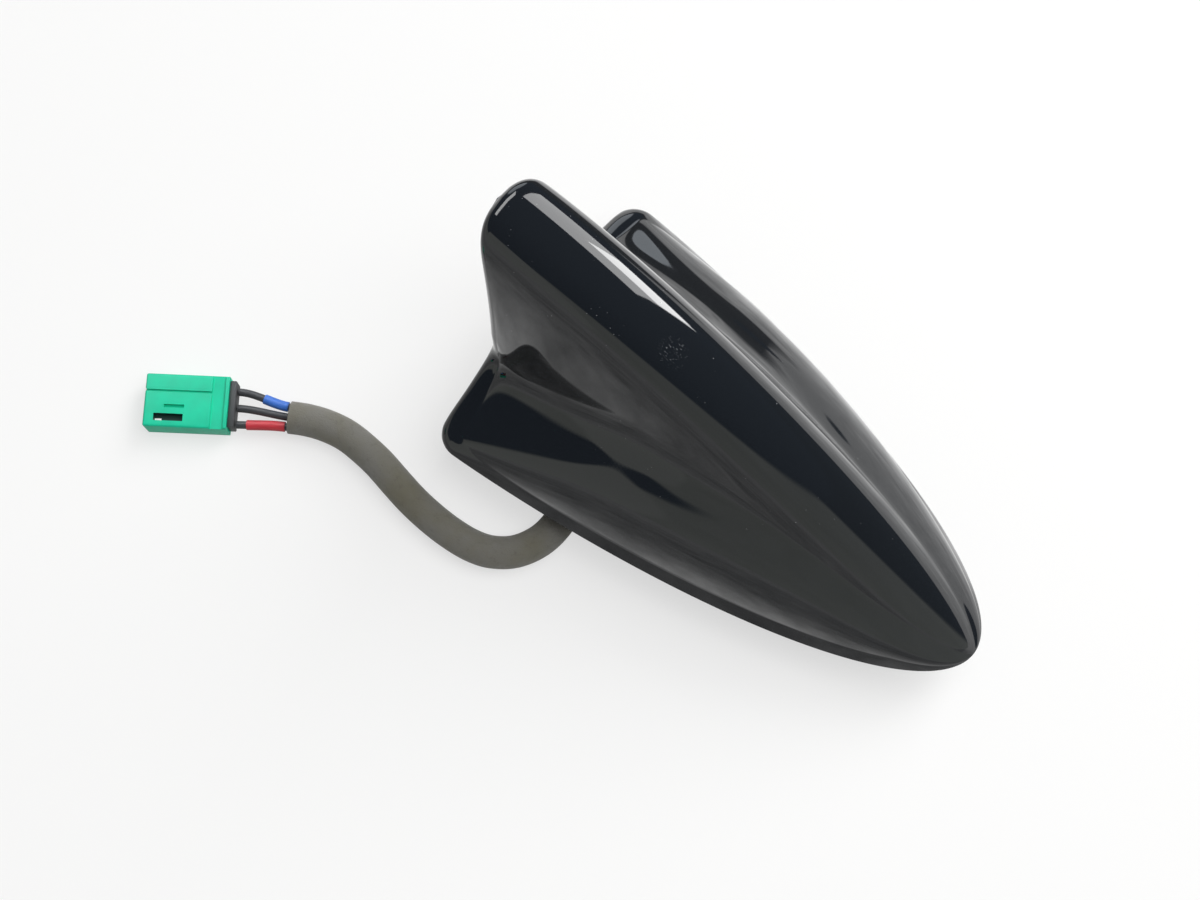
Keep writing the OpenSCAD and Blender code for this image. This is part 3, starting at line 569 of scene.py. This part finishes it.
@dataclass
class Lead:
    """The padded sleeve, and the wires and markers between it and the plug.

    The route is in metres in the part's frame and holds the points of the solid sleeve's middle line.
    """

    plug: Plug
    sleeve_d: float = 8.0
    coax_d: float = 1.9
    fan: float = 2.5
    end_turn: float = 210.0
    retainer_t: float = 1.6
    blue_l: float = 6.5
    red_l: float = 10.0
    marker_t: float = 0.3
    marker_gap: float = 0.3
    tuck: float = 0.25
    bow: float = 0.33
    route_steps: int = 6
    wire_steps: int = 24
    sleeve_round: int = 12
    wire_round: int = 6
    route: tuple[Point, ...] = (
        (-0.018, -0.0132, -0.006), (-0.018, -0.017, -0.006), (-0.017, -0.0225, -0.0066),
        (-0.0156, -0.0285, -0.0076), (-0.0148, -0.035, -0.008), (-0.0156, -0.041, -0.008),
        (-0.0185, -0.0465, -0.008), (-0.023, -0.0502, -0.008), (-0.028, -0.052, -0.008),
        (-0.034, -0.0527, -0.008), (-0.040, -0.0527, -0.008), (-0.046, -0.0522, -0.008),
        (-0.052, -0.0512, -0.008), (-0.058, -0.0501, -0.008), (-0.064, -0.0496, -0.008),
        (-0.069, -0.0497, -0.008), (-0.074, -0.0508, -0.008), (-0.0785, -0.0526, -0.008),
        (-0.0822, -0.0547, -0.008),
    )

    def build(self, plug_pieces: Sequence[bpy.types.Object]) -> None:
        """Args:
            plug_pieces: the pieces of the plug that it ends in. It is not used.
        """
        path = self.smooth_route(self.route_steps)
        sleeve = self.tube("padded_sleeve", path, self.sleeve_d / 2, Slot.SLEEVE, ["cable_sleeve"],
                           self.sleeve_round)
        # The photo shows no mirror image of the sleeve in the cover
        sleeve.visible_glossy = False
        for lane, node in ((1, "navigation_coax"), (0, "radio_coax"), (-1, "satellite_coax")):
            self.tube(node + "_wire", self.wire_path(lane, self.wire_steps), self.coax_d / 2,
                                   Slot.COAX, [node], self.wire_round)
        for lane, length, slot, node in ((1, self.blue_l, Slot.BLUE, "blue_marker"),
                                         (-1, self.red_l, Slot.RED, "red_marker")):
            covered = self.first_part(self.wire_path(lane, self.wire_steps), self.marker_gap, length)
            self.tube(node + "_tube", covered, self.coax_d / 2 + self.marker_t, slot, [node],
                                   self.wire_round)
        length = sum((b - a).length for a, b in zip(path, path[1:])) * MM

    def smooth_route(self, steps: int) -> list[Vector]:
        """The route in millimetres, rounded through its points."""
        points = [Vector(point) / MM for point in self.route]
        last = len(points) - 1
        path = []
        for i in range(last):
            a, b, c, d = (points[max(i - 1, 0)], points[i], points[i + 1], points[min(i + 2, last)])
            for j in range(steps):
                t = j / steps
                path.append((2 * b + (c - a) * t + (2 * a - 5 * b + 4 * c - d) * t * t
                             + (3 * b - a - 3 * c + d) * t * t * t) / 2)
        return path + [points[last]]

    def wire_path(self, lane: int, steps: int) -> list[Vector]:
        """A wire's middle line from the sleeve's end to the plug.

        Args:
            lane: its place beside the middle wire, -1 to 1.
            steps: number of stretches.

        Returns:
            The points, in millimetres.
        """
        way = Vector((math.cos(math.radians(self.end_turn)), math.sin(math.radians(self.end_turn)), 0))
        side = Vector((way.y, -way.x, 0))
        start = Vector(self.route[-1]) / MM + self.tuck * way + lane * self.fan * side
        into = self.plug.to_part()
        end = into @ Vector((self.retainer_t + self.tuck, self.plug.lane_shift + lane * self.plug.pitch,
                             self.plug.height / 2))
        back = (into.to_3x3() @ Vector((-1, 0, 0))).normalized()
        reach = (end - start).length
        path = []
        for i in range(steps + 1):
            t = i / steps
            path.append((1 - t) ** 3 * start + 3 * t * (1 - t) ** 2 * (start + way * reach * self.bow)
                        + 3 * t * t * (1 - t) * (end - back * reach * self.bow) + t ** 3 * end)
        return path

    @staticmethod
    def first_part(path: Sequence[Vector], start: float, length: float) -> list[Vector]:
        """The stretch of a path from start on, of the given length."""
        kept = []
        gone = 0.0
        for a, b in zip(path, path[1:]):
            if start <= gone <= start + length:
                kept.append(a)
            gone += (b - a).length
        return kept

    def tube(self, name: str, path: Sequence[Vector], radius: float, slot: Slot, replaces: Sequence[str],
             roundness: int) -> bpy.types.Object:
        """A round tube along a path.

        Args:
            name: the piece's name.
            path: its middle line, in millimetres.
            radius: its radius.
            slot: its finish.
            replaces: names of the solids that it stands for.
            roundness: steps of the tube's section.

        Returns:
            The curve object.
        """
        data = bpy.data.curves.new(name, "CURVE")
        data.dimensions = "3D"
        data.bevel_depth = radius * MM
        data.bevel_resolution = roundness
        data.use_fill_caps = True
        spline = data.splines.new("POLY")
        spline.points.add(len(path) - 1)
        for point, place in zip(spline.points, path):
            point.co = (*(place * MM), 1.0)
        spline.use_smooth = True
        made = bpy.data.objects.new(name, data)
        bpy.context.scene.collection.objects.link(made)
        data.materials.append(material_of(slot))
        return settle(made, slot, replaces)


@dataclass
class Cover:
    """The gloss cover: one skin that runs from the nose over the fin and round the tail, and its hollow."""

    length: float = 132.0
    width: float = 78.0
    height: float = 63.0
    nose_x: float = 82.0
    wall: float = 2.4
    tip_t: float = 9.8
    nose_t: float = 8.6
    fin_draft: float = 8.5
    waist_swell: float = 6.7
    body_h: float = 32.0
    body_tail_h: float = 11.0
    body_peak: float = 0.7
    body_fall: float = 0.95
    body_ease: float = 0.16
    body_nose: float = 0.8
    body_round: tuple[float, float] = (1.7, 0.85)
    body_full: tuple[float, float] = (3.3, 2.5)
    body_blend: tuple[float, float] = (3.8, 2.8)
    body_turn: float = 3.3
    tip_lean: float = 4.2
    tip_sweep: float = 6.1
    tail_r: float = 6.0
    tip_r: float = 3.2
    tail_bulge: float = 0.3
    lip_w: float = 1.6
    lip_h: float = 3.5
    hollow_u: float = 13.0
    base_z: float = 2.0
    land_z: float = 4.4
    plan_round: float = 1.58
    plan_full: float = 0.51
    crest_round: float = 1.5
    crest_full: float = 0.92
    crest_flat: float = 1.5
    tail_power: int = 6
    along_share: float = 0.86
    turn_share: float = 0.95
    lip_share: float = 0.1
    nose_power: int = 7
    join_power: int = 8
    swell_power: float = 0.7
    crest_drop: float = 1.15
    body_drop: float = 0.8
    lip_part: float = 0.35
    tail_lift: float = 0.6
    normal_reach: float = 0.4
    outer_steps: tuple[int, int] = (240, 280)
    inner_steps: tuple[int, int] = (70, 90)
    nose_pull: tuple[float, float] = (1.6, 1.2)
    merge: float = 0.0008
    waist_reach: float = 5.0
    waist_below: float = 9.0
    waist_over: float = 14.0

    def nose_fade(self, s: float) -> float:
        """How far the section has grown at s, the share of the length from the nose."""
        return math.sqrt(max(0.0, 1 - (1 - s) ** self.nose_power))

    def half_width(self, s: float) -> float:
        """Half width of the plan at s."""
        return self.width / 2 * (1 - (1 - s) ** self.plan_round) ** self.plan_full

    def crest(self, s: float, d: float) -> float:
        """Height of the crest at s, for a skin that lies d inside."""
        return self.height * (1 - (1 - s) ** self.crest_round) ** self.crest_full - self.crest_drop * d

    def body(self, s: float, d: float) -> float:
        """Height of the body's bulge at s."""
        past = (s - self.body_peak) / (1 - self.body_peak)
        back = (past + math.hypot(past, self.body_ease)) / 2
        own = lerp(self.body_h, self.body_tail_h, back ** self.body_fall)
        front = max(self.body_nose * self.crest(s, 0), 1e-6)
        own = (own ** -self.join_power + front ** -self.join_power) ** (-1 / self.join_power)
        return max(own - self.body_drop * d, 0.4 * own)

    def lip(self, s: float) -> float:
        """Height of the lip's crease at s."""
        return min(self.lip_h, self.lip_part * self.body(s, 0))

    def skin_y(self, s: float, z: float, d: float) -> float:
        """Half width of the section at s and height z."""
        fade = self.nose_fade(s)
        h = self.crest(s, d)
        share = min(1.0, max(0.0, z / h))
        top = min((self.nose_t + (self.tip_t - self.nose_t) * s) * fade, 0.8 * self.half_width(s)) - d
        swell = self.waist_swell * (4 * s * (1 - s)) ** self.swell_power
        half = self.half_width(s) - (d + self.lip_w if d > 0 else self.lip_w * fade)
        root = min(top + self.fin_draft * self.crest(s, 0) / self.height + swell, 0.9 * half)
        turn = s ** self.body_turn
        blend = lerp(*self.body_blend, turn)
        power = max(2 * h / top * self.crest_flat, 1.5)
        flank = (top + (root - top) * (1 - share)) * math.sqrt(max(0.0, 1 - share ** power))
        low = min(1.0, max(z, 0.0) / self.body(s, d))
        edge = (half ** blend - root ** blend) ** (1 / blend)
        bulge = edge * (1 - low ** lerp(*self.body_full, turn)) ** (1 / lerp(*self.body_round, turn))
        lip = 0.0 if d > 0 else self.lip_w * fade * max(0.0, 1 - z / self.lip(s))
        return (flank ** blend + bulge ** blend) ** (1 / blend) + lip

    def outer_y(self, s: float, z: float) -> float:
        """Half width of the outer skin, with the hollow line between body and fin eased.

        The section is averaged over a stretch of height that is widest at that line and fades to nothing below
        and above it.
        """
        low = self.body(s, 0)
        room = max(0.0, self.crest(s, 0) - low)
        over = min(self.waist_over, 0.75 * room)
        reach = min(self.waist_reach, 0.3 * room) * smoothstep(0.3, 0.6, s)
        reach *= smoothstep(low - self.waist_below, low - 0.35 * self.waist_below, z)
        reach *= 1 - smoothstep(low + 0.4 * over, low + over + 1e-6, z)
        if reach < 0.01:
            return self.skin_y(s, z, 0)
        taps = ((-1.0, 1), (-0.67, 2), (-0.33, 3), (0.0, 4), (0.33, 3), (0.67, 2), (1.0, 1))
        return sum(weight * self.skin_y(s, max(0.0, z + share * reach), 0) for share, weight in taps) / 16

    def lean(self, z: float) -> float:
        """How far the tail's edge leans back at height z."""
        return self.tip_lean * z / self.height + self.tip_sweep * (z / self.height) ** 2

    def rounding(self, z: float) -> float:
        """Radius of the tail's edge at height z."""
        return lerp(self.tail_r, self.tip_r, min(1.0, 3 * z / self.height))

    def row(self, s: float, v: float, d: float) -> tuple[float, float]:
        """Height and half width at s and v, the share of the way from rim to crest.

        Args:
            s: share of the length from the nose.
            v: 0 at the rim and 1 at the crest.
            d: how far the skin lies inside the outer one.

        Returns:
            Height over the rim and half width, in millimetres.
        """
        h = self.crest(s, d)
        start = self.land_z if d > 0 else self.lip(s)
        if v < self.lip_share:
            z = start * v / self.lip_share
        else:
            part = (v - self.lip_share) / (1 - self.lip_share)
            z = start + (h - start) * (0.55 * part ** 1.5 + 0.45 * (1 - (1 - part) ** 2.2))
        if v >= 1:
            return h, 0.0
        return z, self.skin_y(s, max(z, self.land_z), d) if d > 0 else self.outer_y(s, z)

    def side_point(self, s: float, v: float, d: float) -> Vector:
        """Point of one side: distance back from the nose, distance out, and height."""
        z, y = self.row(s, v, d)
        lean = self.lean(z) * s ** self.tail_power
        rounding = self.rounding(z) * s ** (2 * self.tail_power)
        return Vector((s * self.length + lean - rounding, y, z))

    def tail_point(self, degrees: float, v: float, d: float) -> Vector:
        """Point on the tail's rounding, some degrees round from the flank."""
        z, y = self.row(1.0, v, d)
        r = self.rounding(z) - d
        h = self.crest(1.0, d)
        if v >= 1:
            normal = (0.0, 1.0)
        elif z <= 0:
            normal = (1.0, 0.0)
        else:
            reach = min(self.normal_reach, z, h - z)
            if d > 0:
                out = self.skin_y(1.0, z + reach, d) - self.skin_y(1.0, z - reach, d)
            else:
                out = self.outer_y(1.0, z + reach) - self.outer_y(1.0, z - reach)
            size = math.hypot(2 * reach, out)
            normal = (2 * reach / size, -out / size * lerp(self.tail_lift, 1.0, smoothstep(0.8, 0.97, z / h)))
        inward = (1 - math.cos(math.radians(degrees))) * r
        u = self.length + self.lean(z) - d - r + r * math.sin(math.radians(degrees))
        return Vector((u, max(0.0, y - inward * normal[0]), z - inward * normal[1]))

    def point(self, t: float, v: float, d: float) -> Vector:
        """Point of one side, from the nose at t 0 over the tail's edge to its middle line at t 1."""
        first = self.hollow_u / self.length if d > 0 else 0.0
        if t <= self.along_share:
            part = (t / self.along_share) ** self.nose_pull[d > 0]
            s = lerp(max(first, 1e-5), 1.0, part)
            if d == 0 and t == 0:
                return Vector((0, 0, 0))
            return self.side_point(s, v, d)
        if t <= self.turn_share:
            turn = (t - self.along_share) / (self.turn_share - self.along_share)
            return self.tail_point(90 * turn, v, d)
        edge = self.tail_point(90, v, d)
        part = (t - self.turn_share) / (1 - self.turn_share)
        bulge = 0.0 if d > 0 else self.tail_bulge * (1 - (1 - part) ** 2)
        return Vector((edge.x + bulge, edge.y * (1 - part), edge.z))

    def skin(self, bm: bmesh.types.BMesh, d: float, along: int, across: int) -> list[bmesh.types.BMVert]:
        """Adds one skin to a mesh, shaped from a flat grid.

        Args:
            bm: the mesh.
            d: how far the skin lies inside the outer one.
            along: steps from nose to tail.
            across: steps from rim over the crest to rim.

        Returns:
            The skin's vertices.
        """
        made = bmesh.ops.create_grid(bm, x_segments=along, y_segments=across, size=1.0)["verts"]
        front = [vert for vert in made if vert.co.x < -1 + 1e-6]
        cells = [(vert, round((vert.co.x + 1) / 2, 6), round(vert.co.y, 6)) for vert in made]
        for vert, t, side in cells:
            place = self.point(t, 1 - abs(side), d)
            vert.co = (self.nose_x - place.x, math.copysign(place.y, side), self.base_z + place.z)
        if d > 0:
            self.close_front(bm, front)
        return [vert for vert in made if vert.is_valid]

    @staticmethod
    def close_front(bm: bmesh.types.BMesh, front: Sequence[bmesh.types.BMVert]) -> None:
        """Closes the hollow's flat front with one face over the front edge."""
        ordered = sorted(front, key=lambda vert: (vert.co.y, vert.co.z if vert.co.y < 0 else -vert.co.z))
        bmesh.ops.contextual_create(bm, geom=ordered)

    def build(self) -> bpy.types.Object:
        """Makes the cover as one closed shell."""
        bm = bmesh.new()
        self.skin(bm, 0.0, *self.outer_steps)
        self.skin(bm, self.wall, *self.inner_steps)
        bmesh.ops.remove_doubles(bm, verts=bm.verts, dist=self.merge)
        rim = [edge for edge in bm.edges if len(edge.link_faces) == 1]
        bmesh.ops.bridge_loops(bm, edges=rim)
        bmesh.ops.recalc_face_normals(bm, faces=bm.faces)
        return piece_from(bm, "cover_shell", Slot.COVER, ["fin_cover"])


@dataclass
class Foot:
    """The die-cast foot, its seals and the lead's grommet, each with its slot and the rounding of its edges."""

    pieces: tuple[tuple[str, str, Slot, float], ...] = (
        ("base_plate", "foot_casting", Slot.CAST, 0.35),
        ("rim_seal", "rim_gasket", Slot.SEAL, 0.45),
        ("inner_seal", "hole_gasket", Slot.SEAL, 0.5),
        ("cable_grommet", "grommet_body", Slot.GROMMET, 0.6),
    )

    def build(self) -> None:
        """Makes the foot's pieces from the solids, with softened edges."""
        for node, name, slot, width in self.pieces:
            bm = copy_of_node(node)
            soften(bm, width, 60, 2)
            piece_from(bm, name, slot, [node])


@dataclass
class Inside:
    """The solids inside the cover, which keep their shapes and take their finishes."""

    kept: dict[str, Slot] = field(default_factory=lambda: {
        "cover_screws": Slot.SCREW, "main_board": Slot.BOARD, "board_screws": Slot.SCREW,
        "front_patch": Slot.CERAMIC, "rear_patch": Slot.CERAMIC, "feed_pins": Slot.TIN,
        "shield_can": Slot.TIN, "amplifier_chips": Slot.CHIP, "fin_board": Slot.BOARD,
        "fin_brackets": Slot.TIN, "top_plate": Slot.TIN, "coil_former": Slot.FORMER,
        "loading_coil": Slot.COPPER, "inner_leads": Slot.COAX, "lead_clamps": Slot.TIN,
    })

    def build(self) -> None:
        """Gives each kept solid its finish."""
        for node, slot in self.kept.items():
            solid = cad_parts[node]
            solid.data.materials.clear()
            solid.data.materials.append(material_of(slot))
            log.info("%s dressed, in %s", node, slot.value)


@dataclass(frozen=True)
class Lamp:
    """A soft rectangular lamp, placed by the direction that it shines from."""

    name: str
    azimuth: float
    elevation: float
    distance: float
    size: tuple[float, float]
    radiance: float
    in_gloss: bool = True
    in_diffuse: bool = True

    def build(self) -> None:
        """Makes the lamp, turned to the part."""
        data = bpy.data.lights.new(self.name, "AREA")
        data.shape = "RECTANGLE"
        data.size, data.size_y = self.size
        data.energy = self.radiance * math.pi * self.size[0] * self.size[1]
        lamp = bpy.data.objects.new(self.name, data)
        bpy.context.scene.collection.objects.link(lamp)
        azimuth, elevation = math.radians(self.azimuth), math.radians(self.elevation)
        way = Vector((math.cos(azimuth) * math.cos(elevation), math.sin(azimuth) * math.cos(elevation),
                      math.sin(elevation)))
        turn = way.to_track_quat("Z", "Y").to_matrix().to_4x4()
        lamp.matrix_world = Matrix.Translation(way * self.distance) @ turn
        lamp.visible_glossy = self.in_gloss
        lamp.visible_diffuse = self.in_diffuse
        lamp.visible_camera = False


@dataclass(frozen=True)
class Cap:
    """A round part of the room, placed by its direction, with a soft edge between two angles."""

    azimuth: float
    elevation: float
    inner: float
    outer: float
    colour: Colour


@dataclass
class Studio:
    """The pale floor, the soft lamps and the room that the gloss reflects."""

    floor_z: float = -12.05
    floor_size: float = 6.0
    floor_colour: Colour = (0.82, 0.82, 0.81)
    room: Colour = (0.88, 0.91, 0.86)
    room_shade: Colour = (0.62, 0.65, 0.60)
    mottle_scale: float = 5.0
    caps: tuple[Cap, ...] = (
        Cap(165.0, 20.0, 26.0, 32.0, (1.05, 1.15, 1.25)),
        Cap(105.0, 0.0, 15.0, 18.0, (0.10, 0.12, 0.15)),
        Cap(60.0, 30.0, 48.0, 54.0, (0.10, 0.12, 0.15)),
        Cap(150.0, 70.0, 73.0, 77.0, (0.12, 0.15, 0.20)),
        Cap(137.0, 6.0, 17.0, 21.0, (1.95, 2.1, 2.25)),
        Cap(-102.0, 10.0, 17.5, 20.5, (0.88, 0.91, 0.86)),
    )
    glow_seen: float = 0.62
    glow_away: float = 0.85
    # Glow of the floor in the painted shadow beside the part
    glow_in_painted_shadow: float = 0.5
    glow_beyond: float = 1.4
    away_from: tuple[float, float] = (-0.4, -0.08)
    beyond_from: tuple[float, float] = (-0.06, 0.06)
    table_edge: float = 0.17
    table_fade: float = 0.03
    off_table: float = 0.1
    floor_mottle: tuple[float, float] = (0.66, 1.25)
    floor_mottle_scale: float = 50.0
    fill: float = 0.18
    lamps: tuple[Lamp, ...] = (
        Lamp("window", 85.0, 39.0, 1.2, (0.62, 0.72), 6.5),
        Lamp("window_bright", 76.0, 32.0, 1.2, (0.30, 0.36), 11.0, True, False),
        Lamp("back_window", 165.0, 46.0, 1.2, (0.95, 0.42), 7.0, True, False),
        Lamp("top_box", 60.0, 72.0, 1.5, (1.4, 1.4), 3.1, False),
    )

    def build(self) -> None:
        """Makes the studio."""
        for lamp in self.lamps:
            lamp.build()
        self.floor()
        self.world()
        bpy.context.scene.view_settings.view_transform = "Standard"

    def floor(self) -> None:
        """A pale floor that looks white to the camera and keeps the part's shadow; to gloss rays it glows, with
        a painted shadow of the part just beside the part.
        """
        bm = bmesh.new()
        bmesh.ops.create_grid(bm, x_segments=1, y_segments=1, size=self.floor_size / 2)
        bmesh.ops.translate(bm, vec=(0, 0, self.floor_z * MM), verts=bm.verts)
        mesh = bpy.data.meshes.new("floor")
        bm.to_mesh(mesh)
        bm.free()
        floor = bpy.data.objects.new("floor", mesh)
        bpy.context.scene.collection.objects.link(floor)
        graph = Graph("pale_floor")
        graph.set(Base_Color=(*self.floor_colour, 1.0), Roughness=0.9, Specular_IOR_Level=0.1)
        glow = graph.node("ShaderNodeEmission")
        rays = graph.node("ShaderNodeLightPath")
        blend = graph.node("ShaderNodeMixShader")
        in_gloss = rays.outputs["Is Glossy Ray"]
        in_view = rays.outputs["Is Camera Ray"]
        seen = graph.maths("ADD", graph.maths("MULTIPLY", in_view, self.glow_seen), in_gloss)
        graph.join(seen, blend.inputs["Fac"])
        parts = graph.node("ShaderNodeSeparateXYZ")
        graph.join(graph.place, parts.inputs["Vector"])
        across = parts.outputs["Y"]
        # For gloss rays the floor glows: dimmest just beside the part's near side as a painted shadow of the
        # part, and brighter further away and beyond it
        level = graph.maths("MAXIMUM", graph.span(across, *self.away_from, self.glow_away, self.glow_in_painted_shadow),
                            graph.span(across, *self.beyond_from, self.glow_in_painted_shadow, self.glow_beyond))
        beyond = graph.maths("MULTIPLY", graph.span(across, self.table_edge, self.table_edge + self.table_fade),
                             graph.span(parts.outputs["X"], self.table_fade, 0.0))
        level = graph.maths("MULTIPLY", level, graph.span(beyond, 0.0, 1.0, 1.0, self.off_table))
        mottle = graph.noise(self.floor_mottle_scale, 6, 0.65)
        mottled = graph.maths("MULTIPLY", level, graph.span(mottle, 0.32, 0.68, *self.floor_mottle))
        strength = graph.maths("ADD", graph.maths("MULTIPLY", in_gloss, mottled), in_view)
        graph.join(strength, glow.inputs["Strength"])
        graph.join(graph.surface.outputs["BSDF"], blend.inputs[1])
        graph.join(glow.outputs["Emission"], blend.inputs[2])
        graph.join(blend.outputs["Shader"], graph.output.inputs["Surface"])
        mesh.materials.append(graph.material)

    def world(self) -> None:
        """White behind the part, an even fill on it, and for its gloss a mottled room with the caps in it."""
        world = bpy.data.worlds.new("room")
        bpy.context.scene.world = world
        world.use_nodes = True
        tree = world.node_tree
        tree.nodes.clear()
        place = tree.nodes.new("ShaderNodeTexCoord").outputs["Generated"]

        def near(azimuth: float, elevation: float, inner: float, outer: float) -> bpy.types.NodeSocket:
            """1 within inner degrees of a direction, falling to 0 at outer."""
            a, e = math.radians(azimuth), math.radians(elevation)
            dot = tree.nodes.new("ShaderNodeVectorMath")
            dot.operation = "DOT_PRODUCT"
            tree.links.new(place, dot.inputs[0])
            dot.inputs[1].default_value = (math.cos(a) * math.cos(e), math.sin(a) * math.cos(e), math.sin(e))
            ramp = tree.nodes.new("ShaderNodeMapRange")
            ramp.interpolation_type = "SMOOTHSTEP"
            ramp.inputs["From Min"].default_value = math.cos(math.radians(outer))
            ramp.inputs["From Max"].default_value = math.cos(math.radians(inner))
            tree.links.new(dot.outputs["Value"], ramp.inputs["Value"])
            return ramp.outputs["Result"]

        def blend(share: bpy.types.NodeSocket, first: object, second: object) -> bpy.types.NodeSocket:
            """Mixes two colours, each a socket or three numbers."""
            made = tree.nodes.new("ShaderNodeMix")
            made.data_type = "RGBA"
            tree.links.new(share, made.inputs["Factor"])
            for value, target in ((first, made.inputs["A"]), (second, made.inputs["B"])):
                if isinstance(value, tuple):
                    target.default_value = (*value, 1.0)
                else:
                    tree.links.new(value, target)
            return made.outputs["Result"]

        mottle = tree.nodes.new("ShaderNodeTexNoise")
        mottle.inputs["Scale"].default_value = self.mottle_scale
        mottle.inputs["Detail"].default_value = 5.0
        tree.links.new(place, mottle.inputs["Vector"])
        room = blend(mottle.outputs["Fac"], self.room_shade, self.room)
        for cap in self.caps:
            room = blend(near(cap.azimuth, cap.elevation, cap.inner, cap.outer), room, cap.colour)
        rays = tree.nodes.new("ShaderNodeLightPath")
        seen = blend(rays.outputs["Is Glossy Ray"], (self.fill, self.fill, self.fill), room)
        seen = blend(rays.outputs["Is Camera Ray"], seen, (1.0, 1.0, 1.0))
        back = tree.nodes.new("ShaderNodeBackground")
        tree.links.new(seen, back.inputs["Color"])
        output = tree.nodes.new("ShaderNodeOutputWorld")
        tree.links.new(back.outputs["Background"], output.inputs["Surface"])


def main() -> None:
    """Builds the whole look, the camera and the lead first."""
    PhotoCamera().build()
    plug = Plug()
    Lead(plug).build(plug.build())
    Cover().build()
    Foot().build()
    Inside().build()
    Studio().build()


if __name__ == "__main__":
    main()
